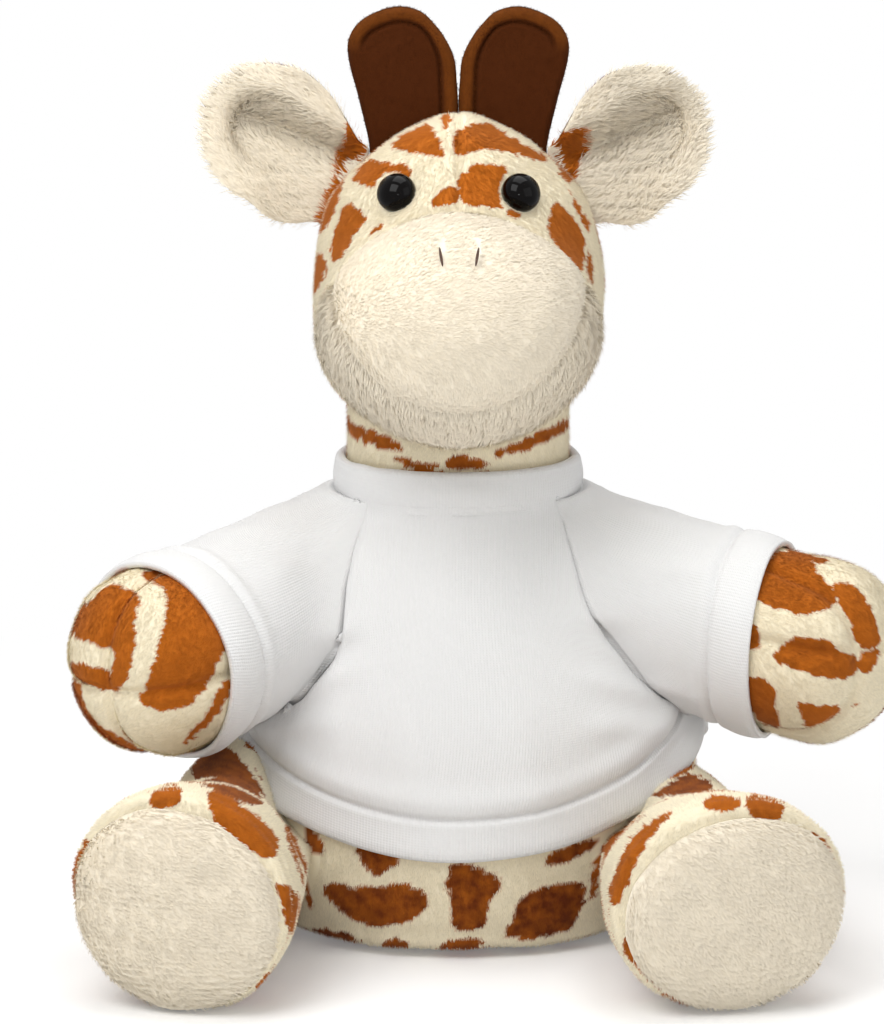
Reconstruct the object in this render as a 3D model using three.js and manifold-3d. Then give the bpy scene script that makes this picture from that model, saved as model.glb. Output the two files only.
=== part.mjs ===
// A seated plush giraffe in a short jersey shirt, as a tree of soft bodies with a seam joint at each root.
// Millimetres, +Z up, the face looks along -Y. Left and right are the giraffe's own: its left is at +X.
// The origin is the middle of the flat seat. Every soft form is a puff: a closed skin through a few sections.
import * as THREE from "three";
import { mergeVertices } from "three/addons/utils/BufferGeometryUtils.js";
import Module from "manifold-3d";

const wasm = await Module();
wasm.setup();

// Shared sizes
const clearance = 0.3; // between neighbours that touch on the real toy
const skinWall = 1.5; // plush cloth with its pile
const pressedDepth = 0.5; // how far a soft form is pressed flat on the floor
const overrun = 400; // reach of every cutting block
const weldStep = 0.0001;
const sweepStep = 40; // degrees between the places a root is cleared at

// Body, from the seat up
const torso = { height: 101.5, halfWidth: 47.5, front: 39, back: 38, top: 86.3 };
const torsoShares = [
  [0, 0, 0, 0],
  [0.013, 0.57, 0.64, 0.65],
  [0.06, 0.81, 0.845, 0.85],
  [0.16, 0.95, 0.955, 0.955],
  [0.3, 1, 1, 1],
  [0.429, 0.96, 0.97, 0.965],
  [0.56, 0.835, 0.875, 0.86],
  [0.7, 0.655, 0.735, 0.715],
  [0.83, 0.49, 0.59, 0.61],
  [0.93, 0.45, 0.55, 0.563],
  [1, 0, 0, 0],
];
const pouch = { halfWidth: 26, halfDepth: 22, height: 17 }; // pellet bag that weights the seat
const pouchShares = [
  [0, 0, 0, 0],
  [0.12, 0.7, 0.7, 0.7],
  [0.4, 1, 1, 1],
  [0.75, 0.8, 0.8, 0.8],
  [1, 0, 0, 0],
];

// Neck and head
const neck = { radius: 22, nodHeight: 103 };
const head = { bottom: 100.5, height: 62, halfWidth: 28, front: 26, back: 27, forward: 5 };
const headShares = [
  [0, 0, 0, 0],
  [0.032, 0.57, 0.6, 0.57],
  [0.1, 0.82, 0.84, 0.82],
  [0.22, 0.97, 0.97, 0.96],
  [0.4, 1.01, 1.01, 1.01],
  [0.58, 0.99, 0.985, 0.98],
  [0.74, 0.885, 0.885, 0.87],
  [0.87, 0.655, 0.67, 0.67],
  [0.96, 0.37, 0.38, 0.38],
  [1, 0, 0, 0],
];
const muzzle = { length: 53, halfWidth: 27.3, halfHeight: 22.8, rise: 23.5, back: 4, droop: 4 };
const muzzleShares = [
  [0, 0, 0, 0],
  [0.075, 0.72, 0.7, 0.7],
  [0.3, 0.95, 0.96, 0.96],
  [0.53, 1, 1, 1],
  [0.7, 0.935, 0.92, 0.92],
  [0.83, 0.79, 0.775, 0.775],
  [0.93, 0.56, 0.54, 0.54],
  [0.985, 0.27, 0.26, 0.26],
  [1, 0, 0, 0],
];
const faceSeam = { forward: 26, rise: 24.5, tilt: 9.9 }; // plane where the cream muzzle is sewn to the head
const chinSeam = { radius: 24.5, rise: 34 }; // round seam under the nose panel
const eye = { aside: 11.9, rise: 47.5, radius: 3.7, height: 3.1, shankRadius: 1.2, shankEnd: 0.8 };
const washer = { radius: 4, thickness: 1.2, sink: 1.1 };
const nostril = { aside: 3.3, rise: 38, length: 5.4, halfWidth: 0.55, halfDepth: 0.5 };
const stitchShares = [
  [0, 0, 0, 0],
  [0.2, 0.9, 0.9, 0.9],
  [0.8, 0.9, 0.9, 0.9],
  [1, 0, 0, 0],
];

// Ears and horns, each of a front and a back cloth sewn round the edge
const ear = {
  aside: 23.3,
  rise: 50,
  lift: 30,
  length: 34,
  root: 4,
  halfWidth: 14.2,
  front: 1.3,
  back: 2.6,
  cup: 5,
};
const earShares = [
  [0, 0, 0, 0],
  [0.03, 0.45, 0.9, 0.9],
  [0.118, 0.52, 1, 1],
  [0.26, 0.72, 1, 1],
  [0.38, 0.88, 1, 1],
  [0.53, 0.985, 1, 1],
  [0.65, 0.98, 1, 1],
  [0.8, 0.83, 0.95, 0.95],
  [0.92, 0.56, 0.8, 0.8],
  [1, 0, 0, 0],
];
const earRange = 20;
const horn = {
  aside: 9.5,
  rise: 58.8,
  lean: 7,
  seamTilt: 24,
  length: 33.5,
  root: 10,
  halfWidth: 10.3,
  cloth: 1.9,
};
const hornCornerShare = 0.5; // how square the felt's edge is

const hornShares = [
  [0, 0, 0, 0],
  [0.02, 0.78, 1, 1],
  [0.25, 0.82, 1, 1],
  [0.5, 0.91, 1, 1],
  [0.73, 1, 1, 1],
  [0.87, 0.9, 1, 1],
  [0.96, 0.58, 0.95, 0.95],
  [1, 0, 0, 0],
];
const hornRange = 12;

// Arms: ball root in the shoulder, then the sections out to the hand
const arm = { aside: 27, forward: 2, height: 67, rootRadius: 17.4, radius: 17.8, length: 64 };
const armShares = [
  [0, 0.978, 0.978, 0.978],
  [0.33, 0.955, 0.955, 0.955],
  [0.6, 0.985, 0.985, 0.985],
  [0.77, 0.985, 1, 1],
  [0.88, 0.83, 0.85, 0.85],
  [0.965, 0.48, 0.5, 0.5],
  [1, 0, 0, 0],
];
const armDirections = { right: [-0.656, -0.738, -0.164], left: [0.92, -0.335, -0.199] };
const armRanges = { right: [-2, 30], left: [-10, 30] };
const armMouth = 8; // the skin is open this far behind the pivot, where it is sewn to the body

// Legs: a root turned about the upright hip axis, then the sections out to the sole
const leg = { aside: 37, forward: 18, height: 21.8, rootRadius: 14, rootHeight: 15.5 };
const foot = { aside: 50.3, forward: 70, radius: 22.3, sole: 8.8 };
const legShares = [
  [0.26, 0.69, 0.73, 0.73],
  [0.52, 0.81, 0.82, 0.82],
  [0.78, 0.95, 0.96, 0.96],
  [1, 1, 1, 1],
];
const soleShares = [
  [0.5, 0.9, 0.9, 0.9],
  [0.85, 0.58, 0.58, 0.58],
  [1, 0, 0, 0],
];
const legInwards = 8; // degrees; outwards the leg swings clear of the body
const legMouth = 5;
const soleSeamShare = 0.34; // how far past the widest section the sole is sewn on

// Tail
const tail = { height: 13, root: 34, length: 27, radius: 4, slope: 9 };
const tuft = { start: 21, length: 14, radius: 5 };
const tailShares = [
  [0, 0, 0, 0],
  [0.08, 0.95, 0.95, 0.95],
  [0.5, 0.9, 0.9, 0.9],
  [0.92, 0.75, 0.75, 0.75],
  [1, 0, 0, 0],
];
const tuftShares = [
  [0, 0, 0, 0],
  [0.1, 0.9, 0.9, 0.9],
  [0.45, 1, 1, 1],
  [0.8, 0.6, 0.6, 0.6],
  [1, 0, 0, 0],
];
const tailRange = 20;

// Shirt: cloth over the body, a doubled hem and cuffs, and a knitted collar
const shirt = {
  ease: 0.4,
  cloth: 1.3,
  doubled: 0.5,
  hemBand: 8,
  cuffBand: 8.5,
  sleeve: 37.5,
  sleeveRoot: 6,
};
const hem = {
  peak: 39.5,
  peakForward: 6,
  frontDrop: 19.5,
  backDrop: 21,
  frontReach: 35,
  backReach: 45,
};
const hemPower = 1.15;
const collar = { thickness: 2.2, height: 7.2, round: 0.7, lift: 0.9 };
const sideSeamBack = 1; // the side seams run just behind the middle

// Counts of faces
const bodyAround = 20;
const fillingAround = bodyAround / 2; // every second corner, so it stays inside the skin
const limbAround = 14;
const ballAround = 18;
const leafAround = 12;
const stitchAround = 8;
const turnSteps = 22;
const smallSteps = 12;
const ballSteps = 3;
const hemSteps = 8;
const windowSteps = 12;

// Materials, with the colours of the photograph
const cloth = (color, roughness) => new THREE.MeshStandardMaterial({ color, roughness, metalness: 0 });
const materials = {
  spotted: cloth(0xb0611f, 0.95),
  cream: cloth(0xe9dfc6, 0.95),
  felt: cloth(0x4a2410, 0.95),
  jersey: cloth(0xf6f6f6, 0.85),
  filling: cloth(0xf2f2ee, 1),
  thread: cloth(0x4a3020, 0.8),
  eye: cloth(0x0b0808, 0.08),
  washer: cloth(0xe8e8e4, 0.4),
};

// A closed mesh as a solid that can be joined and cut
function solid(geometry) {
  const bare = geometry.clone();
  bare.deleteAttribute("normal");
  bare.deleteAttribute("uv");
  const merged = mergeVertices(bare, weldStep);
  const corners = [];
  for (let i = 0; i < merged.index.count; i += 3) {
    const [a, b, c] = merged.index.array.subarray(i, i + 3);
    if (a !== b && b !== c && c !== a) corners.push(a, b, c);
  }
  return new wasm.Manifold(
    new wasm.Mesh({
      numProp: 3,
      vertProperties: merged.attributes.position.array,
      triVerts: new Uint32Array(corners),
    }),
  );
}

const join = (first, ...others) => others.reduce((a, b) => a.add(b), first);
const cut = (first, ...others) => others.reduce((a, b) => a.subtract(b), first);
const vector = (x, y, z) => new THREE.Vector3(x, y, z);
const radians = THREE.MathUtils.degToRad;

// Sections between the given ones, on a smooth curve. A section of no width closes the form with a round end.
function smooth(rows, steps) {
  const mirrored = (row) => row.map((value, i) => (i ? -value : value));
  const closed = (row) => row[1] === 0;
  const first = closed(rows[0]) ? mirrored(rows[1]) : rows[0];
  const last = closed(rows.at(-1)) ? mirrored(rows.at(-2)) : rows.at(-1);
  const all = [first, ...rows, last];
  const made = [];
  for (let i = 1; i < rows.length; i++) {
    for (let k = 0; k < steps; k++) {
      const t = k / steps;
      made.push(all[i].map((value, j) => blend(all[i - 1][j], value, all[i + 1][j], all[i + 2][j], t)));
    }
  }
  made.push(rows.at(-1));
  return made;
}

// Catmull-Rom curve from b to c at t
function blend(a, b, c, d, t) {
  const linear = c - a;
  const square = 2 * a - 5 * b + 4 * c - d;
  const cube = 3 * b - a - 3 * c + d;
  return b + (t / 2) * (linear + t * (square + t * cube));
}

// Rows of [along, half width, front, back] from shares and the sizes that they follow
function sections(shares, along, halfWidth, front, back) {
  return shares.map(([a, w, f, b]) => [a * along, w * halfWidth, f * front, b * back]);
}

// The rear half of a ball root, from its pole up to the pivot
function ballRows(along, halfWidth, halfHeight) {
  const angles = Array.from({ length: ballSteps }, (_, i) => (i * Math.PI) / 2 / ballSteps);
  return angles.map((angle) => [
    -along * Math.cos(angle),
    halfWidth * Math.sin(angle),
    halfHeight * Math.sin(angle),
    halfHeight * Math.sin(angle),
  ]);
}

// A closed skin through the sections, along +Z, with its front at -Y. grow moves it out along its normals,
// corner squares its sections, and cup brings its edges forward.
function puff(rows, { around = limbAround, steps = 1, grow = 0, corner = 1, cup = 0, aside = 0 } = {}) {
  const rings = smooth(rows, steps);
  const widest = Math.max(...rings.map((ring) => ring[1]));
  const points = [[0, aside, rings[0][0]]];
  for (const [along, halfWidth, front, back] of rings.slice(1, -1)) {
    for (let k = 0; k < around; k++) {
      const angle = (k * 2 * Math.PI) / around;
      const x = halfWidth * Math.sign(Math.cos(angle)) * Math.abs(Math.cos(angle)) ** corner;
      const depth = Math.sin(angle) < 0 ? front : back;
      const y = depth * Math.sign(Math.sin(angle)) * Math.abs(Math.sin(angle)) ** corner;
      points.push([x, y + aside - cup * (x / widest) ** 2, along]);
    }
  }
  points.push([0, aside, rings.at(-1)[0]]);
  const geometry = new THREE.BufferGeometry();
  geometry.setAttribute("position", new THREE.Float32BufferAttribute(points.flat(), 3));
  geometry.setIndex(ringFaces(rings.length - 2, around));
  return grown(geometry, grow);
}

// Faces of a stack of rings closed by a point at each end
function ringFaces(rings, around) {
  const faces = [];
  const end = rings * around + 1;
  for (let k = 0; k < around; k++) {
    const next = (k + 1) % around;
    faces.push(0, 1 + next, 1 + k);
    for (let i = 0; i < rings - 1; i++) {
      const low = 1 + i * around;
      const high = low + around;
      faces.push(low + k, low + next, high + next, low + k, high + next, high + k);
    }
    faces.push(end - around + k, end - around + next, end);
  }
  return faces;
}

// The same skin moved out by a distance along its own normals
function grown(geometry, distance) {
  if (distance === 0) return geometry;
  geometry.computeVertexNormals();
  const { position, normal } = geometry.attributes;
  const point = new THREE.Vector3();
  const direction = new THREE.Vector3();
  for (let i = 0; i < position.count; i++) {
    point.fromBufferAttribute(position, i);
    direction.fromBufferAttribute(normal, i);
    point.addScaledVector(direction, distance);
    position.setXYZ(i, point.x, point.y, point.z);
  }
  return geometry;
}

// A place whose +Z runs along a direction and whose +Y leans towards another
function place(origin, along, upward) {
  const z = along.clone().normalize();
  const y = upward.clone().addScaledVector(z, -upward.dot(z)).normalize();
  const x = new THREE.Vector3().crossVectors(y, z);
  return new THREE.Matrix4().makeBasis(x, y, z).setPosition(origin);
}

// A turn about an axis through a point, in degrees
function turn(pivot, axis, angle) {
  const matrix = new THREE.Matrix4().makeTranslation(pivot.x, pivot.y, pivot.z);
  matrix.multiply(new THREE.Matrix4().makeRotationAxis(axis, radians(angle)));
  return matrix.multiply(new THREE.Matrix4().makeTranslation(-pivot.x, -pivot.y, -pivot.z));
}

const at = (geometry, matrix) => geometry.clone().applyMatrix4(matrix);

// Everything on the far side of a place's XY plane
function beyond(matrix) {
  const block = new THREE.BoxGeometry(overrun, overrun, overrun).translate(0, 0, overrun / 2);
  return solid(block.applyMatrix4(matrix));
}

const above = (height) => beyond(new THREE.Matrix4().makeTranslation(0, 0, height));
const below = (height) => beyond(place(vector(0, 0, height), vector(0, 0, -1), vector(0, 1, 0)));

// A ball, or one stretched upright, with its corners on its radius
function ball(center, radius, height = radius, steps = ballAround) {
  const sphere = new THREE.SphereGeometry(radius, steps, steps / 2).rotateX(Math.PI / 2);
  return solid(sphere.scale(1, 1, height / radius).translate(center.x, center.y, center.z));
}

// The room that a ball turns in: its faces, not its corners, lie on the radius
function room(center, radius, height = radius, steps = ballAround) {
  const outward = 1 / Math.cos(Math.PI / steps) ** 2;
  return ball(center, radius * outward, height * outward, steps);
}

// A turned form about +Z from its outline of [radius, height] points
function turned(outline, steps = turnSteps) {
  const points = outline.map(([radius, height]) => new THREE.Vector2(radius, height));
  return new THREE.LatheGeometry(points, steps).rotateX(Math.PI / 2);
}

// Where a line along +Y meets a form from the front, with the way out of it there
function frontOf(geometry, x, z) {
  const mesh = new THREE.Mesh(geometry, new THREE.MeshBasicMaterial({ side: THREE.DoubleSide }));
  const hit = new THREE.Raycaster(vector(x, -overrun, z), vector(0, 1, 0)).intersectObject(mesh)[0];
  return { point: hit.point, normal: hit.face.normal };
}

// The angles at which a root is cleared, from the lowest to the highest
function sweep([low, high]) {
  const count = Math.ceil((high - low) / sweepStep);
  return Array.from({ length: count + 1 }, (_, i) => low + ((high - low) * i) / count);
}

// What a fixed form takes from a piece that turns about the axis, over its whole range
function swept(geometry, pivot, axis, range) {
  return sweep(range).map((angle) => solid(at(geometry, turn(pivot, axis, -angle))));
}

// The whole giraffe is a tree of groups, one for each moving body, each placed at its own joint
const giraffe = new THREE.Group();
const groups = {};
function bodyGroup(name, parent, pivot) {
  const group = new THREE.Group();
  const origin = parent.getWorldPosition(new THREE.Vector3());
  group.position.copy(pivot).sub(origin);
  parent.add(group);
  group.updateWorldMatrix(true, false);
  groups[name] = group;
  return group;
}

function addPiece(group, name, form, material) {
  const { vertProperties, triVerts } = form.getMesh();
  const geometry = new THREE.BufferGeometry();
  geometry.setAttribute("position", new THREE.BufferAttribute(vertProperties, 3));
  geometry.setIndex(new THREE.BufferAttribute(triVerts, 1));
  const origin = group.getWorldPosition(new THREE.Vector3());
  geometry.translate(-origin.x, -origin.y, -origin.z);
  geometry.computeVertexNormals();
  const mesh = new THREE.Mesh(geometry, material);
  mesh.name = name;
  group.add(mesh);
}

// Grown copies of the two forms that others are cut by
const torsoRows = sections(torsoShares, torso.height, torso.halfWidth, torso.front, torso.back);
function torsoForm(grow, around = bodyAround) {
  return puff(torsoRows, { around, grow }).translate(0, 0, -pressedDepth);
}
const headRows = sections(headShares, head.height, head.halfWidth, head.front, head.back);
function headForm(grow, around = bodyAround) {
  return puff(headRows, { around, grow }).translate(0, -head.forward, head.bottom);
}
const muzzlePlace = place(
  vector(0, -muzzle.back, head.bottom + muzzle.rise),
  vector(0, -Math.cos(radians(muzzle.droop)), -Math.sin(radians(muzzle.droop))),
  vector(0, 0, 1),
);
function muzzleForm(grow, around = bodyAround) {
  const rows = sections(muzzleShares, muzzle.length, muzzle.halfWidth, muzzle.halfHeight, muzzle.halfHeight);
  return puff(rows, { around, grow }).applyMatrix4(muzzlePlace);
}

// Joint places shared by the pieces on both sides
const sides = { right: -1, left: 1 };
const upward = vector(0, 0, 1);
const backward = vector(0, 1, 0);
const shoulder = (side) => vector(sides[side] * arm.aside, -arm.forward, arm.height);
const hip = (side) => vector(sides[side] * leg.aside, -leg.forward, leg.height);
const sleeveRadius = arm.rootRadius + shirt.ease + shirt.cloth;
const tailPivot = vector(0, tail.root, tail.height);

// Everything under the hem, as a long block with a peak over each hip, moved up by a rise
function underHem(rise) {
  const outline = new THREE.Shape();
  const heightAt = (y) => {
    const out = y + hem.peakForward;
    const share = Math.abs(out) / (out < 0 ? hem.frontReach : hem.backReach);
    return hem.peak - (out < 0 ? hem.frontDrop : hem.backDrop) * share ** hemPower;
  };
  const from = -hem.peakForward - hem.frontReach * 2;
  const to = -hem.peakForward + hem.backReach * 2;
  outline.moveTo(from, -overrun);
  for (let i = 0; i <= hemSteps * 2; i++) {
    const y = from + ((to - from) * i) / hemSteps / 2;
    outline.lineTo(y, heightAt(y) + rise);
  }
  outline.lineTo(to, -overrun);
  const block = new THREE.ExtrudeGeometry(outline, { depth: overrun, bevelEnabled: false });
  const axes = new THREE.Matrix4().makeBasis(vector(0, 1, 0), vector(0, 0, 1), vector(1, 0, 0));
  return solid(block.translate(0, 0, -overrun / 2).applyMatrix4(axes));
}

// The room that the torso and the shirt leave for the roots of the arms and legs
function rootRooms(steps) {
  const sleeveRoom = sleeveRadius + clearance;
  return Object.keys(sides).flatMap((side) => [
    room(hip(side), leg.rootRadius + clearance, leg.rootHeight + clearance, steps),
    room(shoulder(side), sleeveRoom, sleeveRoom, steps),
  ]);
}

// Torso with its filling and pellet bag
function makeTorso(group) {
  const trims = [above(torso.top), ...rootRooms(ballAround)];
  const shell = cut(solid(torsoForm(0)), solid(torsoForm(-skinWall)), below(0), ...trims);
  addPiece(group, "body_skin", shell, materials.spotted);
  const inset = skinWall + clearance;
  const bagRows = sections(pouchShares, pouch.height, pouch.halfWidth, pouch.halfDepth, pouch.halfDepth);
  const bag = (grow) => solid(puff(bagRows, { grow }));
  addPiece(group, "pellet_pouch", cut(bag(0), below(inset)), materials.filling);
  const core = solid(torsoForm(-inset, fillingAround));
  const filling = cut(core, bag(clearance), above(torso.top), ...rootRooms(fillingAround));
  addPiece(group, "body_stuffing", filling, materials.filling);
}

// Neck, turned about the upright axis, with a round top for the head to nod on
function makeNeck(group) {
  const bottom = torso.top + clearance;
  const dome = (radius) => {
    const angles = Array.from({ length: ballSteps + 1 }, (_, i) => (i * Math.PI) / 2 / ballSteps);
    return angles.map((a) => [radius * Math.sin(a), neck.nodHeight + radius * Math.cos(a)]);
  };
  const inner = neck.radius - skinWall;
  const outline = [...dome(neck.radius), [neck.radius, bottom], [inner, bottom], ...dome(inner).reverse()];
  addPiece(group, "neck_skin", solid(turned(outline.reverse())), materials.spotted);
  const core = inner - clearance;
  const coreOutline = [...dome(core), [core, bottom], [0, bottom]];
  addPiece(group, "neck_stuffing", solid(turned(coreOutline.reverse())), materials.filling);
}

// The neck's room in the head: a ball about the nod pivot, open downwards
function neckSocket() {
  const radius = neck.radius + clearance;
  const column = new THREE.CylinderGeometry(radius, radius, overrun, turnSteps).rotateX(Math.PI / 2);
  const bowl = room(vector(0, 0, neck.nodHeight), radius, radius, turnSteps);
  return join(bowl, solid(column.translate(0, 0, neck.nodHeight - overrun / 2)));
}

// The eyes: a glossy dome whose shank goes through the skin into a locking washer
function eyePlace(side) {
  const seat = frontOf(headForm(0), sides[side] * eye.aside, head.bottom + eye.rise);
  return place(seat.point, seat.normal, upward);
}

function makeEye(group, side) {
  const under = -(skinWall + washer.sink + washer.thickness + eye.shankEnd);
  const domeAngles = Array.from({ length: ballSteps * 2 }, (_, i) => (i * Math.PI) / 4 / ballSteps);
  const dome = domeAngles.map((a) => [eye.radius * Math.cos(a), clearance + eye.height * Math.sin(a)]);
  const outline = [[0, under], [eye.shankRadius, under], [eye.shankRadius, clearance], ...dome];
  outline.push([0, clearance + eye.height]);
  const where = eyePlace(side);
  addPiece(group, `${side}_eye`, solid(turned(outline, smallSteps).applyMatrix4(where)), materials.eye);
  const bore = eye.shankRadius + clearance;
  const top = -(skinWall + washer.sink);
  const ring = [[bore, top - washer.thickness], [washer.radius, top - washer.thickness]];
  ring.push([washer.radius, top], [bore, top], ring[0]);
  const disc = solid(turned(ring, smallSteps).applyMatrix4(where));
  addPiece(group, `${side}_eye_washer`, disc, materials.washer);
}

// A round pocket about an eye's shank, down to a depth
function eyePocket(side, radius, depth) {
  const bore = new THREE.CylinderGeometry(radius, radius, depth * 2, smallSteps).rotateX(Math.PI / 2);
  return solid(bore.applyMatrix4(eyePlace(side)));
}

function stitch(side, grow) {
  const seat = frontOf(muzzleForm(0), sides[side] * nostril.aside, head.bottom + nostril.rise);
  const along = upward.clone().addScaledVector(seat.normal, -upward.dot(seat.normal));
  const { length, halfWidth, halfDepth } = nostril;
  const rows = sections(stitchShares, length, halfWidth, halfDepth, halfDepth);
  const bar = puff(rows, { around: stitchAround, grow }).translate(0, 0, -length / 2);
  return solid(bar.applyMatrix4(place(seat.point, along, seat.normal)));
}

// The nose panel's outline, a round-bottomed window seen from the front
function noseWindow(radius) {
  const outline = new THREE.Shape();
  const middle = head.bottom + chinSeam.rise;
  outline.moveTo(radius, middle + overrun / 2);
  outline.lineTo(-radius, middle + overrun / 2);
  outline.lineTo(-radius, middle);
  outline.absarc(0, middle, radius, Math.PI, 2 * Math.PI, false);
  const options = { depth: overrun, bevelEnabled: false, curveSegments: windowSteps };
  return solid(new THREE.ExtrudeGeometry(outline, options).rotateX(Math.PI / 2));
}

// Head: spotted skin behind the face seam, cream nose and chin panels in front of it
function makeHead(group) {
  const seamAngle = radians(faceSeam.tilt);
  const facing = vector(0, -Math.cos(seamAngle), -Math.sin(seamAngle));
  const seamPoint = vector(0, -faceSeam.forward, head.bottom + faceSeam.rise);
  const ahead = beyond(place(seamPoint, facing, upward));
  const aheadLess = beyond(place(seamPoint.clone().addScaledVector(facing, clearance), facing, upward));
  const socket = neckSocket();
  const outside = join(solid(headForm(0)), solid(muzzleForm(0)));
  const inside = join(solid(headForm(-skinWall)), solid(muzzleForm(-skinWall)));
  const shell = cut(outside, inside, socket);
  const bores = Object.keys(sides).map((side) =>
    eyePocket(side, eye.shankRadius + clearance, skinWall * 2),
  );
  addPiece(group, "head_skin", cut(shell, ahead, ...bores), materials.spotted);
  const front = shell.intersect(aheadLess);
  const grooves = Object.keys(sides).map((side) => stitch(side, clearance));
  const nose = cut(front.intersect(noseWindow(chinSeam.radius)), ...grooves);
  addPiece(group, "nose_panel", nose, materials.cream);
  const chin = cut(front, noseWindow(chinSeam.radius + clearance));
  addPiece(group, "chin_panel", chin, materials.cream);
  const inset = skinWall + clearance;
  const pocketDepth = skinWall + washer.sink + washer.thickness + eye.shankEnd + clearance;
  const pockets = Object.keys(sides).map((side) => eyePocket(side, washer.radius + clearance, pocketDepth));
  const filling = join(solid(headForm(-inset, fillingAround)), solid(muzzleForm(-inset, fillingAround)));
  addPiece(group, "head_stuffing", cut(filling, socket, ...pockets, ...grooves), materials.filling);
  for (const side of Object.keys(sides)) {
    makeEye(group, side);
    addPiece(group, `${side}_nostril_stitch`, stitch(side, 0), materials.thread);
  }
}

// Two cloths of a flat piece, face to face, trimmed to the head over the range of their seam
function makeLeaf(name, parent, pivot, axis, where, rows, options, range, looks) {
  const group = bodyGroup(name, parent, pivot);
  const trims = swept(headForm(clearance), pivot, axis, range);
  const halves = { front: -1, back: 1 };
  for (const [half, sign] of Object.entries(halves)) {
    const kept = rows.map(([a, w, f, b]) => (sign < 0 ? [a, w, f, 0] : [a, w, 0, b]));
    const sheet = puff(kept, { ...options, aside: (sign * clearance) / 2 });
    addPiece(group, `${name}_${half}`, cut(solid(at(sheet, where)), ...trims), looks[half]);
  }
}

function makeEar(parent, side) {
  const lift = radians(ear.lift);
  const along = vector(sides[side] * Math.cos(lift), 0, Math.sin(lift));
  const pivot = vector(sides[side] * ear.aside, 0, head.bottom + ear.rise);
  const where = place(pivot.clone().addScaledVector(along, -ear.root), along, backward);
  const axis = new THREE.Vector3().crossVectors(backward, along);
  const rows = sections(earShares, ear.length, ear.halfWidth, ear.front, ear.back);
  const options = { around: leafAround, cup: ear.cup };
  const looks = { front: materials.cream, back: materials.spotted };
  makeLeaf(`${side}_ear`, parent, pivot, axis, where, rows, options, [-earRange, earRange], looks);
}

function makeHorn(parent, side) {
  const lean = radians(horn.lean);
  const along = vector(sides[side] * Math.sin(lean), 0, Math.cos(lean));
  const pivot = vector(sides[side] * horn.aside, 0, head.bottom + horn.rise);
  const where = place(pivot.clone().addScaledVector(along, -horn.root), along, backward);
  const tilt = radians(horn.seamTilt);
  const axis = vector(Math.cos(tilt), 0, -sides[side] * Math.sin(tilt));
  const rows = sections(hornShares, horn.length, horn.halfWidth, horn.cloth, horn.cloth);
  const options = { around: leafAround, corner: hornCornerShare };
  const looks = { front: materials.felt, back: materials.felt };
  makeLeaf(`${side}_horn`, parent, pivot, axis, where, rows, options, [-hornRange, hornRange], looks);
}

// Arm with its filling and its sleeve, which turns with it in the shoulder of the shirt
function makeArm(parent, side) {
  const pivot = shoulder(side);
  const group = bodyGroup(`${side}_arm`, parent, pivot);
  const along = vector(...armDirections[side]).normalize();
  const axis = new THREE.Vector3().crossVectors(along, upward).normalize();
  const where = place(pivot, along, upward);
  const rows = [
    ...ballRows(arm.rootRadius, arm.rootRadius, arm.rootRadius),
    ...sections(armShares, arm.length, arm.radius, arm.radius, arm.radius),
  ];
  const form = (grow) => solid(puff(rows, { grow }).applyMatrix4(where));
  const kept = ball(pivot, sleeveRadius);
  const outer = shirt.ease + shirt.cloth;
  const chest = torsoForm(outer + shirt.doubled + clearance);
  const takes = swept(chest, pivot, axis, armRanges[side]).map((take) => take.subtract(kept));
  const inward = along.clone().negate();
  const mouth = beyond(place(pivot.clone().addScaledVector(along, -armMouth), inward, upward));
  addPiece(group, `${side}_arm_skin`, cut(form(0), form(-skinWall), mouth, ...takes), materials.spotted);
  addPiece(group, `${side}_arm_stuffing`, cut(form(-skinWall - clearance), ...takes), materials.filling);
  const root = pivot.clone().addScaledVector(along, -shirt.sleeveRoot);
  const end = pivot.clone().addScaledVector(along, shirt.sleeve);
  const band = end.clone().addScaledVector(along, -shirt.cuffBand);
  const cuff = form(outer + shirt.doubled).intersect(beyond(place(band, along, upward)));
  const sleeve = cut(
    join(form(outer), cuff),
    form(shirt.ease),
    beyond(place(end, along, upward)),
    beyond(place(root, inward, upward)),
    ...takes,
  );
  addPiece(group, `${side}_sleeve`, sleeve, materials.jersey);
}

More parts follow.
